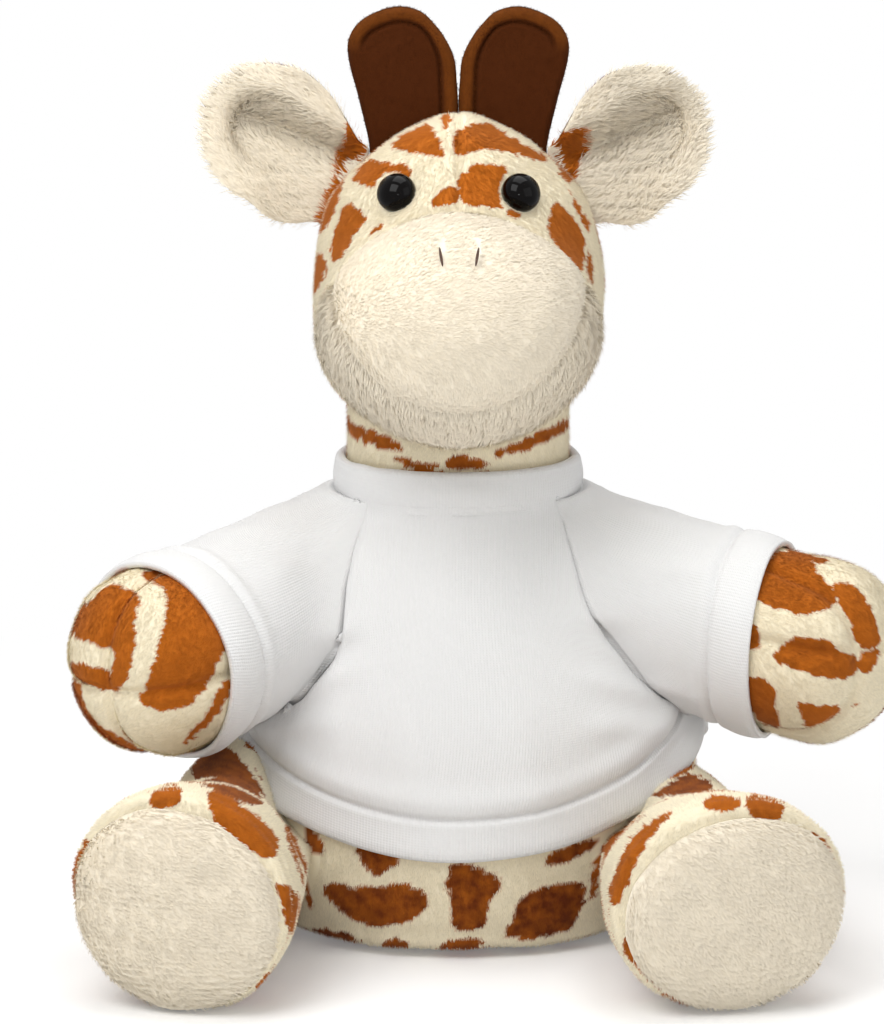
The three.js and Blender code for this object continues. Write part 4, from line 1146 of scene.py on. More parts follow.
def make_eyes(_):
    """Safety eyes: a polished black dome, a flat collar under it and a shank through the cloth."""
    gloss = material_named("Polished black eye plastic", polished_plastic, "#050303")
    for side, where in eye_places().items():
        angle = np.linspace(0, np.pi / 2, 28)
        dome = np.column_stack([EYE["radius"] * np.cos(angle), EYE["lifted"] + EYE["height"] * np.sin(angle)])
        stem = [[0, -EYE["under"]], [EYE["shank"], -EYE["under"]], [EYE["shank"], -EYE["flange"]],
                [EYE["radius"] - 0.35, -EYE["flange"]], [EYE["radius"] - 0.05, -0.7]]
        eye = add_grid(f"{side}_eye_dome", turned_grid(np.vstack([stem, dome]), AROUND["eye"], where), gloss)
        fit(eye, "head", (f"{side}_eye",))


def make_nostrils(_):
    """Nostrils in satin stitch: a low bar whose threads cross it, one ripple for each thread."""
    thread = material_named("Brown embroidery thread", rough_cloth, "#4a3020", 0.6, 0.3, 0.25, 0.03)
    for side, s in SIDES.items():
        start = np.array([s * NOSTRIL["aside"], -30.0, HEAD["bottom"] + NOSTRIL["rise"]])
        way = np.array([0.0, -1.0, 0.0])
        seat = start + way * ray_lengths(head_field, start, way)
        out = gradient(head_field, seat)
        along = unit(UP - np.dot(UP, out) * out + np.array([0.16 * s, 0, 0]))
        z = np.linspace(0, 1, 120)[:, None]
        angle = np.arange(AROUND["nostril"]) * TAU / AROUND["nostril"]
        swell = np.sin(np.pi * z) ** 0.35
        ripple = 1 + 0.1 * np.sin(z * NOSTRIL["length"] / NOSTRIL["thread"] * TAU)
        local = np.stack([
            NOSTRIL["half_width"] * swell * ripple * np.cos(angle),
            NOSTRIL["half_depth"] * swell * ripple * np.sin(angle) + NOSTRIL["raised"],
            (z - 0.5) * (NOSTRIL["length"] - 0.6) + 0 * angle,
        ], -1)
        bar = add_grid(f"{side}_nostril_satin_stitch", outward(local, placed(seat, along, out)), thread)
        fit(bar, "head", (f"{side}_nostril_stitch",))


# ---------------------------------------------------------------- ears and horns


def leaf_form(sizes, shares, front, back, s, along):
    """A flat form on the head along a way: its Puff, and its outline as even points in its own plane."""
    pivot = np.array([s * sizes["aside"], 0, HEAD["bottom"] + sizes["rise"]])
    where = placed(pivot - along * sizes["root"], along, BACK)
    puff = Puff(sized(shares, sizes["length"], sizes["half_width"], front, back), where)
    side_line = puff.table[:, [1, 0]]
    outline = np.vstack([side_line, (side_line * [-1, 1])[::-1]])
    return puff, even_line(outline[outline[:, 1] > 0.6], 420)


def leaf_local(puff, rows, columns, half, cup=0.0):
    """Half of a flat form: ring points over half a turn, with edges brought forward by cup (x / widest)^2."""
    z, w, front, back = puff.sections(np.linspace(0, 1, rows)[:, None])
    angle = np.linspace(0, np.pi, columns) + (np.pi if half == "front" else 0)
    depth = front if half == "front" else back
    x = w * np.cos(angle)
    y = depth * np.sin(angle) - cup * (x / puff.table[:, 1].max()) ** 2
    return np.stack([x, y, z + 0 * angle], -1)


def edge_distance(x, z, outline):
    """Distance in the leaf's own plane to the nearest of the outline's points, with that point's number."""
    flat = np.stack([x.ravel(), z.ravel()], -1)
    gaps = np.linalg.norm(flat[:, None] - outline[None], axis=2)
    return gaps.min(1).reshape(x.shape), gaps.argmin(1).reshape(x.shape)


def folded_ear(local, outline, half, s):
    """An ear's half in its own axes, spread at the root, with its valley, bowl, lobe and rolled rim."""
    x, share = local[..., 0].copy(), local[..., 2] / EAR["length"]
    rim, _ = edge_distance(x, local[..., 2], outline)
    low = s * x
    local[..., 0] *= 1 + EAR_FOLD["root_spread"] * (low > 0) * ramp(share, 0.55, 0.1)
    local[..., 1] -= EAR_FOLD["lower_curl"] * ramp(share, 0.6, 0.1) * (low > 0) * (x / 14) ** 2
    if half == "back":
        local[..., 1] += EAR_FOLD["back_rim"] * ramp(rim, 0.0, 3.0)
        return local
    # a valley from the root out to the middle, under the inner rim that is folded over it
    valley = bell(low + 3.5 - 4.5 * share, 2.6) * ramp(share, 0.82, 0.6) * ramp(share, 0.0, 0.12)
    lobe = bell(low + 9.0 - 3.0 * share, 3.0) * ramp(share, 0.02, 0.2) * ramp(share, 0.95, 0.7)
    bowl = ramp(rim, 4.0, 9.0) * ramp(share, 0.1, 0.3)
    local[..., 1] += EAR_FOLD["valley"] * valley + EAR_FOLD["bowl"] * bowl - EAR_FOLD["lobe"] * lobe
    roll = EAR_FOLD["roll"] * ramp(share, 0.2, 0.6)
    local[..., 1] -= roll * np.sqrt(np.clip(1 - ((rim - 3.2) / 3.6) ** 2, 0, 1))
    return local


def make_ears(settings):
    """Ears: a cream front cloth in long pile and a spotted back cloth, joined at the rim and cupped."""
    for side, s in SIDES.items():
        ear = f"{side}_ear"
        lift, scale = np.radians(EAR["lift"]), EAR_SCALES[side]
        along = np.array([s * np.cos(lift), 0, np.sin(lift)])
        puff, outline = leaf_form(EAR, EAR_SHARES, EAR["front"], EAR["back"], s, along)
        size = (ROWS["ear"], AROUND["ear"])
        halves = {half: leaf_local(puff, *size, half, EAR["cup"]) * scale for half in HALVES}
        inner, outer = (
            outward(folded_ear(local, outline, half, s), puff.where) for half, local in halves.items()
        )
        sew(settings, f"{ear}_inner_plush", inner, "cream_plush", ear, (f"{ear}_front",),
            painted(ear, inner, settings, wrap=False, cells=False), wrap=False)
        long_pile(f"{ear}_inner_pile", inner, ear, everywhere, towards(along), settings,
                  SEEDS["ear_inner"] + s, wrap=False, share=1.05, lean=52, print_name=ear)
        sew(settings, f"{ear}_outer_plush", outer, "spotted_plush", ear, (f"{ear}_back",),
            painted("ear_backs", outer, settings, wrap=False), wrap=False)
        short_pile(f"{ear}_outer_pile", outer, ear, "ear_backs", everywhere, towards(along), settings,
                   SEEDS["ear_outer"] + s, wrap=False)


def sewn_share(across, rise, s):
    """Where a horn's edge is sewn: 1 on its outer side and over its top, 0 low on the inner side."""
    return np.maximum(ramp(-s * across, -2, 4), ramp(rise, 25, 29))


def make_horns(settings):
    """Horns: two felt cloths with a rolled edge 2.9 mm wide and a sewn groove inside it."""
    for side, s in SIDES.items():
        lean = np.radians(HORN["lean"])
        along = np.array([s * np.sin(lean), 0, np.cos(lean)])
        puff, outline = leaf_form(HORN, HORN_SHARES, HORN["cloth"], HORN["cloth"], s, along)
        step = np.linalg.norm(outline[1] - outline[0])
        for half, sign in HALVES.items():
            local = leaf_local(puff, ROWS["horn"], AROUND["horn"], half)
            inside, number = edge_distance(local[..., 0], local[..., 2], outline)
            across, rise = local[..., 0].copy(), local[..., 2]
            roll = np.sqrt(np.clip(1 - (1 - np.clip(inside / HORN["roll"], 0, 1)) ** 2, 0, 1))
            stitched = 1 + 0.12 * np.cos(number * step * TAU / HORN["stitch"])
            sewn = sewn_share(across, rise, s)
            dent = (0.8 * bell(inside - HORN["groove"], 0.4) * stitched + 0.3 * ramp(inside, 1.6, 3.0)) * sewn
            local[..., 1] = sign * (HORN["cloth"] * roll - dent * (roll > 0.9))
            # the inner side spreads towards the head, the outer one has a corner near the top
            inner, outer = np.clip(-s * across / 9, 0, 1), np.clip(s * across / 9, 0, 1)
            spread = HORN["base_spread"] * ramp(rise, 28, 12) - HORN["top_spread"] * ramp(rise, 20, 31)
            local[..., 0] -= s * inner * spread
            local[..., 0] += s * outer * HORN["corner"] * bell(rise - 28.0, 3.0)
            grid = outward(local, puff.where)
            # a lighter brown along the rolled edge on the sewn side, brighter there through a higher tip
            # value; the low tip value elsewhere paints shade on the felt
            light = (1 - ramp(inside, 1.8, 3.0)) * sewn
            look = {"spot": light * 0.5, "shade": 0 * light + 0.3, "tip": 0.5 * light + 0.2}
            sew(settings, f"{side}_horn_{half}_felt", grid, "felt", f"{side}_horn", (f"{side}_horn_{half}",),
                look, wrap=False)
            roots, out, draw = scatter(grid, settings.short_density * 0.9, SEEDS["horn"] + s, wrap=False)
            across, rise = inward(roots, puff.where).T[[0, 2]]
            light = 1 - ramp(edge_distance(across, rise, outline)[0], 1.8, 3.0)
            paint = (light * 0.5 * sewn_share(across, rise, s), np.full(len(roots), 0.3))
            fuzz = add_pile(
                f"{side}_horn_{half}_fuzz", roots, out, towards(along)(roots), dark_felt(settings),
                draw=draw, paint=paint, **HORN_FUZZ,
            )
            fit(fuzz, f"{side}_horn")


# ---------------------------------------------------------------- arms, legs and tail


def hand_seams(points, side):
    """Distance to the nearer of two planes that cross along the line from shoulder to hand point."""
    line = unit(HAND_POINTS[side])
    level = unit(UP - np.dot(UP, line) * line)
    offset = points - SHOULDERS[side]
    return np.minimum(np.abs(dot(offset, level)), np.abs(dot(offset, np.cross(line, level))))


def make_arms(settings):
    """Arms of spotted plush in four gores that meet in a point at the hand, each seam sunk between them."""
    for side, s in SIDES.items():
        form, arm = ARM_FORMS[side], f"{side}_arm"
        grid = form.grid(ROWS["arm"], AROUND["arm"])
        along = inward(grid, form.where)[..., 2]
        tip = np.linalg.norm(grid - SHOULDERS[side] - np.array(HAND_POINTS[side]), axis=-1)
        reach, seams = ramp(along, 20, 50), hand_seams(grid, side)
        crease = (0.55 + 0.5 * reach) * bell(seams, SEAM_WIDTH) + 0.7 * reach * bell(seams, 4)
        grid = settle(grid, 0.25 * wobble(grid, 17, 12) + 0.35 * reach - crease - 0.8 * bell(tip, 3.0))
        # flatter inside the sleeve, which stays behind a little when the arm is lifted
        from_cuff = SLEEVE_END[side] - inward(grid, form.where)[..., 2]
        grid = settle(grid, -ARM_FLAT["depth"] * ramp(from_cuff, ARM_FLAT["none"], ARM_FLAT["full"]))
        sew(settings, f"{arm}_plush", grid, "spotted_plush", arm, (f"{arm}_skin", f"{arm}_stuffing"),
            painted(arm, grid, settings))
        shown = lambda points: inward(points, form.where)[:, 2] > SLEEVE_END[side] - 6
        short_pile(f"{arm}_pile", grid, arm, arm, shown, towards(np.array(ARM_WAYS[side]) + [0, 0, -0.4]),
                   settings, SEEDS["arm"] + s)


def splayed(grid, form, s):
    """A leg's points moved outwards, more near the hip, where its top also leans out."""
    local = inward(grid, form.where)
    out, rise, along = s * local[..., 0], local[..., 1], local[..., 2]
    out = np.where(out < 0, out * (1 - SPLAY["pinch"] * ramp(rise, -2, 8) * ramp(along, 42, 14)), out)
    lean = SPLAY["lean"] * out * (rise > 0) * np.clip(rise / 10, 0, 1) * ramp(along, 34, 8)
    out = out + SPLAY["shift"] + SPLAY["hip_shift"] * ramp(along, 28, 2)
    return outward(np.stack([s * out, rise + lean, along], -1), form.where)


def make_legs(settings):
    """Legs of spotted plush with a ring seam behind the foot, and domed soles of long cream pile."""
    for side, s in SIDES.items():
        form, leg = LEG_FORMS[side], f"{side}_leg"
        run = form.lengths() / form.lengths()[-1]
        around = np.arange(LEG_AROUND) * TAU / LEG_AROUND
        seam = LEG_LENGTH + FOOT["seam"] + FOOT["seam_tilt"] * np.cos(around - np.arctan2(1, -0.5 * s))
        cut = np.interp(seam, form.along, run)
        grid = splayed(form.grid(ROWS["leg"], LEG_AROUND, high=cut), form, s)
        along = inward(grid, form.where)[..., 2]
        dent = 0.45 * bell(along - seam + 4.2, 0.8)
        grid = settle(grid, 0.25 * wobble(grid, 21, 14 + s) - dent - SEAM_DEPTH * bell(along - seam, 1.0))
        grid = grounded(grid)
        skin = grounded(lipped(grid, 1.6, high=True))
        sew(settings, f"{leg}_plush", skin, "spotted_plush", leg, (f"{leg}_skin", f"{leg}_stuffing"),
            painted(leg, skin, settings))
        shown = lambda points: (TORSO_FORM.gap(points) > 0.3) & (points[:, 2] > 1.0)
        way = unit([s * (FOOT["aside"] - LEG["aside"]), LEG["forward"] - FOOT["forward"], 0])
        comb = towards(-way + np.array([0, 0, -0.6]))
        short_pile(f"{leg}_pile", grid, leg, leg, shown, comb, settings, SEEDS["leg"] + s)
        pad = splayed(form.grid(ROWS["sole"], LEG_AROUND, low=cut), form, s)
        along = inward(pad, form.where)[..., 2]
        pad = grounded(settle(pad, 0.2 * wobble(pad, 13, 17 + s) - SEAM_DEPTH * bell(along - seam, 1.2)))
        skin = grounded(lipped(pad, 1.4, low=True))
        sew(settings, f"{side}_sole_plush", skin, "cream_plush", leg, (f"{side}_sole",), plain(skin))

        def in_rows(points):
            """Faint rows across the sole, where the knit behind shows."""
            waves = np.cos(points[:, 2] * TAU / 1.3 + wobble(points, 9, 19))
            return (points[:, 2] > 1.0) & (waves > -0.9)

        across = unit(np.cross(form.where[1][2], UP)) * -1.0 + np.array([0, 0, -0.45 if s < 0 else -1.0])
        long_pile(f"{side}_sole_pile", pad, leg, in_rows, towards(across), settings, SEEDS["sole"] + s,
                  clump=1.2, share=0.55, lean=64)


def make_tail(settings):
    """Tail: a thin stuffed cord of plush that ends in a tuft of felt strands."""
    slope = np.radians(TAIL["slope"])
    where = placed((0, TAIL["root"], TAIL["height"]), (0, np.cos(slope), -np.sin(slope)), UP)
    form = Puff(sized(TAIL_SHARES, TAIL["length"], TAIL["radius"], TAIL["radius"], TAIL["radius"]), where)
    grid = form.grid(ROWS["tail"], AROUND["tail"])
    sew(settings, "tail_plush", grid, "spotted_plush", "tail", ("tail",),
        painted("tail", grid, settings))
    outside = lambda points: TORSO_FORM.gap(points) > 0.2
    short_pile("tail_pile", grid, "tail", "tail", outside, towards((0, 1, -0.3)), settings,
               SEEDS["tail"])
    rows = sized(TUFT_SHARES, TUFT["length"], TUFT["radius"], TUFT["radius"], TUFT["radius"])
    core = Puff(rows, (where[0] + where[1][2] * TUFT["start"], where[1]))
    core = core.grid(ROWS["tuft"], AROUND["tuft"])
    sew(settings, "tail_tuft_core", core, "felt", "tail", ("tail_tuft",), plain(core, 0.2))
    roots, out, draw = scatter(core, TUFT["density"], SEEDS["tuft"])
    paint = (draw.uniform(0, 0.5, len(roots)), draw.random(len(roots)))
    strands = add_pile(
        "tail_tuft_strands", roots, out, towards(where[1][2])(roots), dark_felt(settings), TUFT["strand"],
        TUFT["strand_width"], 68, draw, paint, clump=1.4, bends=2, spread=0.15,
    )
    fit(strands, "tail")


# ---------------------------------------------------------------- shirt


def cloth_field(points, body_bury=0.0, arm_bury=0.0):
    """Distance out of the cloth: body and arms joined softly over a reach, less the cloth's outer face.

    A bury distance keeps that form out of the joint, where the other one's cloth passes it. A cone draws the
    cloth in under the collar.
    """
    arms = np.minimum(*(form.gap(points) for form in ARM_FORMS.values()))
    cloth = smaller(TORSO_FORM.gap(points) + body_bury, arms + arm_bury, CLOTH["join"]) - CLOTH_FACE
    collar = COLLAR["inner"] + COLLAR["thickness"] - CLOTH["under_collar"]
    reach = collar + CLOTH["cone_slope"] * (SHIRT_TOP - points[..., 2])
    cone = CLOTH["cone_share"] * (np.hypot(points[..., 0], points[..., 1]) - reach)
    return -smaller(-cloth, -cone, CLOTH["cone_join"])


def parted(points):
    """How deep a parted form is buried, by height on each side: 0 at the shoulder, in full at the armpit."""
    low, high = (np.where(points[..., 0] < 0, *ends) for ends in zip(PARTING["right"], PARTING["left"]))
    share = np.clip((high - points[..., 2]) / (high - low), 0, 1)
    return BURIED * (share * share * (3 - 2 * share))


def shirt_field(points):
    """The panels' cloth: below the shoulders the arms' cloth comes through it and leaves it as it is."""
    return cloth_field(points, arm_bury=parted(points))


def sleeve_field(points):
    """The cloth of a sleeve: joined to the body at the shoulder, and free of it below."""
    return cloth_field(points, body_bury=parted(points))


def from_inside(start, way):
    """Where the panels' cloth lies from each start along one way, at most 60 mm out."""
    ways = np.tile(np.array(way, float), (len(start), 1))
    return start + ways * ray_lengths(shirt_field, start, ways, 60)[:, None]


def raglan_curve(side, sign, shift=0.0, count=60):
    """Seam of a sleeve at the front (sign -1) or back (1), from the collar down to the armpit.

    A shift moves it towards the middle, for the sleeve's seam allowance under the panel.
    """
    z, x = np.array(RAGLAN[side, sign], float).T
    height = np.linspace(z[0], z[-1], count)
    across = SIDES[side] * (np.interp(height, z[::-1], x[::-1]) - shift)
    start = np.column_stack([across, np.full(count, -2.0), height])
    return np.vstack([from_inside(start, (0, sign, 0)), armpit(side)])


def armpit(side):
    """Where the two sleeve seams and the side seam meet."""
    near = np.array([[SIDES[side] * ARMPIT["aside"], SIDE_SEAM_Y, ARMPIT["height"]]])
    return onto(shirt_field, near)[0]


def side_seam(side, count=20):
    """Side seam from the armpit down to the hem."""
    top = armpit(side)
    height = np.linspace(top[2], hem_height(np.array(SIDE_SEAM_Y)), count)
    start = np.column_stack([np.zeros(count), np.full(count, SIDE_SEAM_Y), height])
    curve = from_inside(start, (SIDES[side], 0, 0))
    curve[0] = top
    return curve


def level_arc(start, end, turns, height=None):
    """Line on the cloth from one end to the other round the body, at a height or at the hem's own."""
    angle = np.linspace(np.arctan2(start[1], start[0]), np.arctan2(end[1], end[0]) + turns * TAU, 160)
    way = np.column_stack([np.cos(angle), np.sin(angle), 0 * angle])
    reach = np.full(160, 40.0)
    for _ in range(6 if height is None else 1):
        z = hem_height(reach * np.sin(angle)) if height is None else np.full(160, height)
        axis = np.column_stack([0 * z, 0 * z, z])
        reach = ray_lengths(shirt_field, axis, way, 55)
    curve = way * reach[:, None] + axis
    curve[0], curve[-1] = start, end
    return curve


def relaxed(grid, wrap, field, rounds=45):
    """Inner points moved to the mean of their four neighbours, and put back onto the field's zero."""
    columns = slice(None) if wrap else slice(1, -1)
    for turn in range(rounds):
        mean = (np.roll(grid, 1, 0) + np.roll(grid, -1, 0) + np.roll(grid, 1, 1) + np.roll(grid, -1, 1)) / 4
        grid[1:-1, columns] = mean[1:-1, columns]
        if turn % 9 == 8:
            grid[1:-1, columns] = onto(field, grid[1:-1, columns], 2)
    grid[1:-1, columns] = onto(field, grid[1:-1, columns], 4)
    return grid


def spanned(bottom, top, left, right):
    """Coons patch: the two ruled surfaces between facing edges, less the bilinear one of the corners."""
    u = np.linspace(0, 1, len(bottom))[None, :, None]
    v = np.linspace(0, 1, len(left))[:, None, None]
    corners = (1 - u) * (1 - v) * bottom[0] + u * (1 - v) * bottom[-1]
    corners = corners + (1 - u) * v * top[0] + u * v * top[-1]
    return (1 - v) * bottom + v * top + (1 - u) * left[:, None] + u * right[:, None] - corners


def cloth_uv(grid):
    """UV in millimetres: running length across from the middle column, and up from the first row."""
    across = np.linalg.norm(np.diff(grid, axis=1, prepend=grid[:, :1]), axis=-1).cumsum(1)
    up = np.linalg.norm(np.diff(grid, axis=0, prepend=grid[:1]), axis=-1).cumsum(0)
    return np.stack([across - across[:, across.shape[1] // 2][:, None], up], -1)


def folds(points, ridges):
    """Soft folds: for each (start, end, width, height) a bell of the distance to the line, its ends faded."""
    total = np.zeros(points.shape[:-1])
    for start, end, width, height in ridges:
        start, line = np.array(start, float), np.array(end, float) - np.array(start, float)
        share = np.clip(dot(points - start, line) / np.dot(line, line), -0.15, 1.15)
        distance = np.linalg.norm(points - start - share[..., None] * line, axis=-1)
        total += height * bell(distance, width) * ramp(share, -0.15, 0.2) * ramp(share, 1.15, 0.7)
    return total


def make_shirt_body(settings):
    """Front and back panels between collar, sleeve seams, side seams and a doubled, stitched hem."""
    rows, columns = ROWS["panel"], AROUND["panel"]
    for half, sign in HALVES.items():
        sides = list(SIDES)[::-sign]
        edges = [np.vstack([side_seam(side)[::-1], raglan_curve(side, sign)[::-1][1:]]) for side in sides]
        first, last = edges
        turns = int(half == "back" and last[0][1] < 0)
        bottom = level_arc(first[0], last[0], turns)
        top = level_arc(first[-1], last[-1], 0, SHIRT_TOP)
        # rows follow the length of the edge, so the armpit lies on the same share of both
        left, right = (even_line(edge, rows) for edge in edges)
        grid = spanned(even_line(bottom, columns), even_line(top, columns), left, right)
        grid[1:-1, 1:-1] = onto(shirt_field, grid[1:-1, 1:-1])
        grid = relaxed(grid, False, shirt_field)
        uv = cloth_uv(grid)
        rise = grid[..., 2] - hem_height(grid[..., 1])
        border = np.minimum(*(np.linalg.norm(grid - grid[:, end], axis=-1) for end in np.s_[:1, -1:]))
        stitched = bell(rise - HEM["band"], 0.6)
        band = 0.3 * ramp(rise, HEM["band"], HEM["band_top"]) - 0.9 * stitched - 0.4 * bell(rise - 0.2, 0.8)
        flare = 0.5 + 1.6 * ramp(np.abs(grid[..., 0]), 30, 46)
        band += 0.8 * bell(rise - 11.5, 2.6) + flare * ramp(rise, 7, 0)
        wave = 0.35 * wobble(grid, 34, 21) * ramp(rise, 30, 0)
        depth = band + wave - 0.4 * bell(border, 0.6) + folds(grid, SHIRT_FOLDS[half])
        grid = settle(grid, depth, wrap=False)
        panel = add_grid(f"shirt_{half}", grid, white_jersey(settings), wrap=False, uv=uv)
        wall(panel, settings)
        fit(panel, "torso", (f"shirt_{half}_panel",))


def sleeve_end(rise, side):
    """Where a sleeve ends along its arm: the left one reaches further below than on top."""
    return SLEEVE_END[side] - SLEEVE_TILT[side] * np.clip(rise / 20, -1, 1)


def make_sleeves(settings):
    """Raglan sleeves from the collar and the armpit to a doubled cuff, bending at the shoulder."""
    around, rows = AROUND["sleeve"], ROWS["sleeve"]
    for side, s in SIDES.items():
        front, back = (raglan_curve(side, sign, ALLOWANCE) for sign in HALVES.values())
        over = level_arc(front[0], back[0], 0 if s > 0 else -1, SHIRT_TOP)
        loop = even_line(np.vstack([front[::-1], over[1:-1], back]), around + 1)[:-1]
        form = ARM_FORMS[side]
        angle = -np.pi / 2 - s * np.arange(around) * TAU / around
        local = np.stack([20 * np.cos(angle), 20 * np.sin(angle), sleeve_end(20 * np.sin(angle), side)], -1)
        middle = outward(np.array([0, 0, SLEEVE_END[side]]), form.where)
        way = unit(outward(local, form.where) - middle)
        cuff = middle + way * (ray_lengths(form.gap, middle, way, 40) + CLOTH_FACE)[:, None]
        share = np.linspace(0, 1, rows)[:, None, None]
        grid = loop * (1 - share) + cuff * share
        grid[1:-1] = onto(sleeve_field, grid[1:-1])
        grid = relaxed(grid, True, sleeve_field)
        if s > 0:
            grid = grid[:, ::-1]
        uv = cloth_uv(np.concatenate([grid, grid[:, :1]], 1))[:, :-1]
        local = inward(grid, form.where)
        from_cuff = sleeve_end(local[..., 1], side) - local[..., 2]
        stitched = bell(from_cuff - CUFF["stitches"], 0.5)
        edge = bell(from_cuff - 0.2, 0.8)
        band = 0.5 * ramp(from_cuff, CUFF["fade"], CUFF["band_top"]) - 0.5 * stitched - 0.4 * edge
        band += 0.5 * bell(from_cuff - 4.5, 3.2) + 0.6 * bell(from_cuff - 10.8, 1.5)
        # the border lies under the panels, as a seam allowance does
        border = np.linalg.norm(grid - grid[:1], axis=-1)
        depth = band - 1.3 * ramp(border, 2.4, 1.0) + folds(grid, SLEEVE_FOLDS[side])
        grid = settle(grid, depth + 0.25 * wobble(grid, 22, 23))
        if np.mean(dot(grid_normals(grid, True), grid - form.where[0])) < 0:
            grid, uv = grid[:, ::-1], uv[:, ::-1]
        sleeve = add_grid(f"{side}_sleeve_jersey", grid, white_jersey(settings), uv=uv)
        wall(sleeve, settings)
        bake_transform(sleeve)
        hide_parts(f"{side}_sleeve")


def wall(piece, settings):
    """The cloth's thickness, inwards from its outer face."""
    solidify = piece.modifiers.new("Cloth", "SOLIDIFY")
    solidify.thickness = settings.thickness
    solidify.offset = -1


def make_collar(settings):
    """Collar: a doubled band of jersey folded over at the top and sewn down at its lower edge."""
    inner, outer = COLLAR["inner"], COLLAR["inner"] + COLLAR["thickness"]
    low, high = COLLAR["bottom"] - COLLAR["sewn_under"], COLLAR["bottom"] + COLLAR["height"]
    roll = COLLAR["thickness"] / 2
    angle = np.linspace(0, np.pi, 16)
    top = np.column_stack([inner + roll + roll * np.cos(angle), high - roll + roll * np.sin(angle)])
    outside = np.column_stack([np.full(30, outer), np.linspace(low, high - roll, 30)])[:-1]
    inside = np.column_stack([np.full(30, inner), np.linspace(high - roll, low, 30)])[1:]
    profile = np.vstack([outside, top, inside, [[outer, low]]])
    grid = turned_grid(even_line(profile, ROWS["collar"]), AROUND["collar"])
    turn = np.arctan2(grid[..., 1], grid[..., 0])
    height = ramp(grid[..., 2], low, high)
    facing = ramp(-np.sin(turn), -1, 1)
    sewn = np.hypot(grid[..., 0], grid[..., 1]) > outer - 0.3
    swell = COLLAR["swell"] * np.sin(np.pi * height) * sewn + 0.12 * wobble(grid, 14, 31)
    groove = COLLAR["groove"] * bell(grid[..., 2] - low - 1.0, 0.45) * sewn
    grid = settle(grid, swell - groove)
    drop = COLLAR["front_drop"] * facing + COLLAR["wave"] * np.sin(2 * turn + 0.6)
    grid[..., 2] -= drop * (1 - 0.5 * height) - 0.2
    uv = np.stack(np.broadcast_arrays(turn * outer, np.linspace(0, 18, len(grid))[:, None]), -1)
    band = add_grid("collar_band_jersey", grid, white_jersey(settings), uv=uv)
    fit(band, "torso", ("collar_band",))


SHIRT_FOLDS = {
    "front": [
        ((-40, -22, 47), (-16, -36, 60), 2.4, 0.9), ((-41, -22, 42), (-22, -38, 48), 2.6, 0.8),
        ((-36, -25, 54), (-12, -33, 72), 2.2, 0.5), ((42, -18, 47), (20, -36, 58), 2.6, 0.9),
        ((43, -18, 42), (24, -36, 46), 2.8, 0.8), ((36, -22, 55), (14, -32, 70), 2.2, 0.5),
        ((-6, -42, 30), (-14, -40, 55), 4.5, 0.5), ((16, -40, 28), (10, -40, 52), 4.5, 0.5),
    ],
    "back": [
        ((-42, 16, 47), (-20, 33, 58), 2.6, 0.8), ((42, 16, 47), (20, 33, 58), 2.6, 0.8),
        ((-8, 38, 30), (-12, 36, 56), 5, 0.6), ((14, 38, 26), (12, 36, 54), 5, 0.6),
    ],
}
SLEEVE_FOLDS = {
    "right": [
        ((-30, -28, 78), (-48, -36, 68), 2.6, 0.5), ((-44, -16, 48), (-50, -34, 50), 2.2, 0.8),
        ((-40, -10, 82), (-52, -20, 76), 3.0, 0.4),
    ],
    "left": [
        ((36, -22, 52), (56, -24, 50), 2.2, 0.8), ((32, -22, 76), (50, -24, 74), 2.6, 0.5),
        ((40, -2, 84), (54, -6, 80), 3.0, 0.4),
    ],
}


# ---------------------------------------------------------------- hidden hardware and stage


def make_eye_washers(_):
    """Locking washers of the eyes: the frame's own discs, in moulded natural nylon."""
    nylon = material_named("Moulded natural nylon", rough_cloth, "#e8e8e4", 0.4, 0.0, 0.4, 0.01)
    for side in SIDES:
        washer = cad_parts[f"{side}_eye_washer"]
        washer.data.materials.clear()
        washer.data.materials.append(nylon)


def seen_directly(tree):
    """1 for camera, glossy and transmission rays."""
    rays = add_node(tree, "ShaderNodeLightPath").outputs
    first = add_math(tree, "MAXIMUM", rays["Is Camera Ray"], rays["Is Glossy Ray"])
    return add_math(tree, "MAXIMUM", first, rays["Is Transmission Ray"])


def add_floor(settings):
    """Matt paper, plain white for the camera past where the shadow ends."""
    material, tree, shader = new_material(
        "Matt white paper floor", Roughness=1.0, Base_Color=linear("#efefef"), Specular_IOR_Level=0.0,
        Emission_Color=WHITE,
    )
    place = add_node(tree, "ShaderNodeTexCoord").outputs["Object"]
    reach = add_node(tree, "ShaderNodeVectorMath", {0: place}, operation="LENGTH").outputs["Value"]
    far = add_node(tree, "ShaderNodeMapRange", {"Value": reach, "From Min": 110 * MM, "From Max": 300 * MM})
    seen = seen_directly(tree)
    tree.links.new(add_math(tree, "MULTIPLY", seen, settings.floor_lift), shader.inputs["Emission Strength"])
    share = add_math(tree, "MULTIPLY", seen, far.outputs["Result"])
    white = add_node(tree, "ShaderNodeEmission", {"Color": WHITE, "Strength": 1.0})
    both = add_node(tree, "ShaderNodeMixShader", {0: share, 1: shader.outputs[0], 2: white.outputs[0]})
    output = next(node for node in tree.nodes if node.type == "OUTPUT_MATERIAL")
    tree.links.new(both.outputs[0], output.inputs["Surface"])
    reach, depth = FLOOR["reach"], FLOOR["depth"]
    corners = [[-reach, -reach, depth], [reach, -reach, depth], [reach, reach, depth], [-reach, reach, depth]]
    add_mesh("Paper floor", corners, [[0, 1, 2, 3]], material)


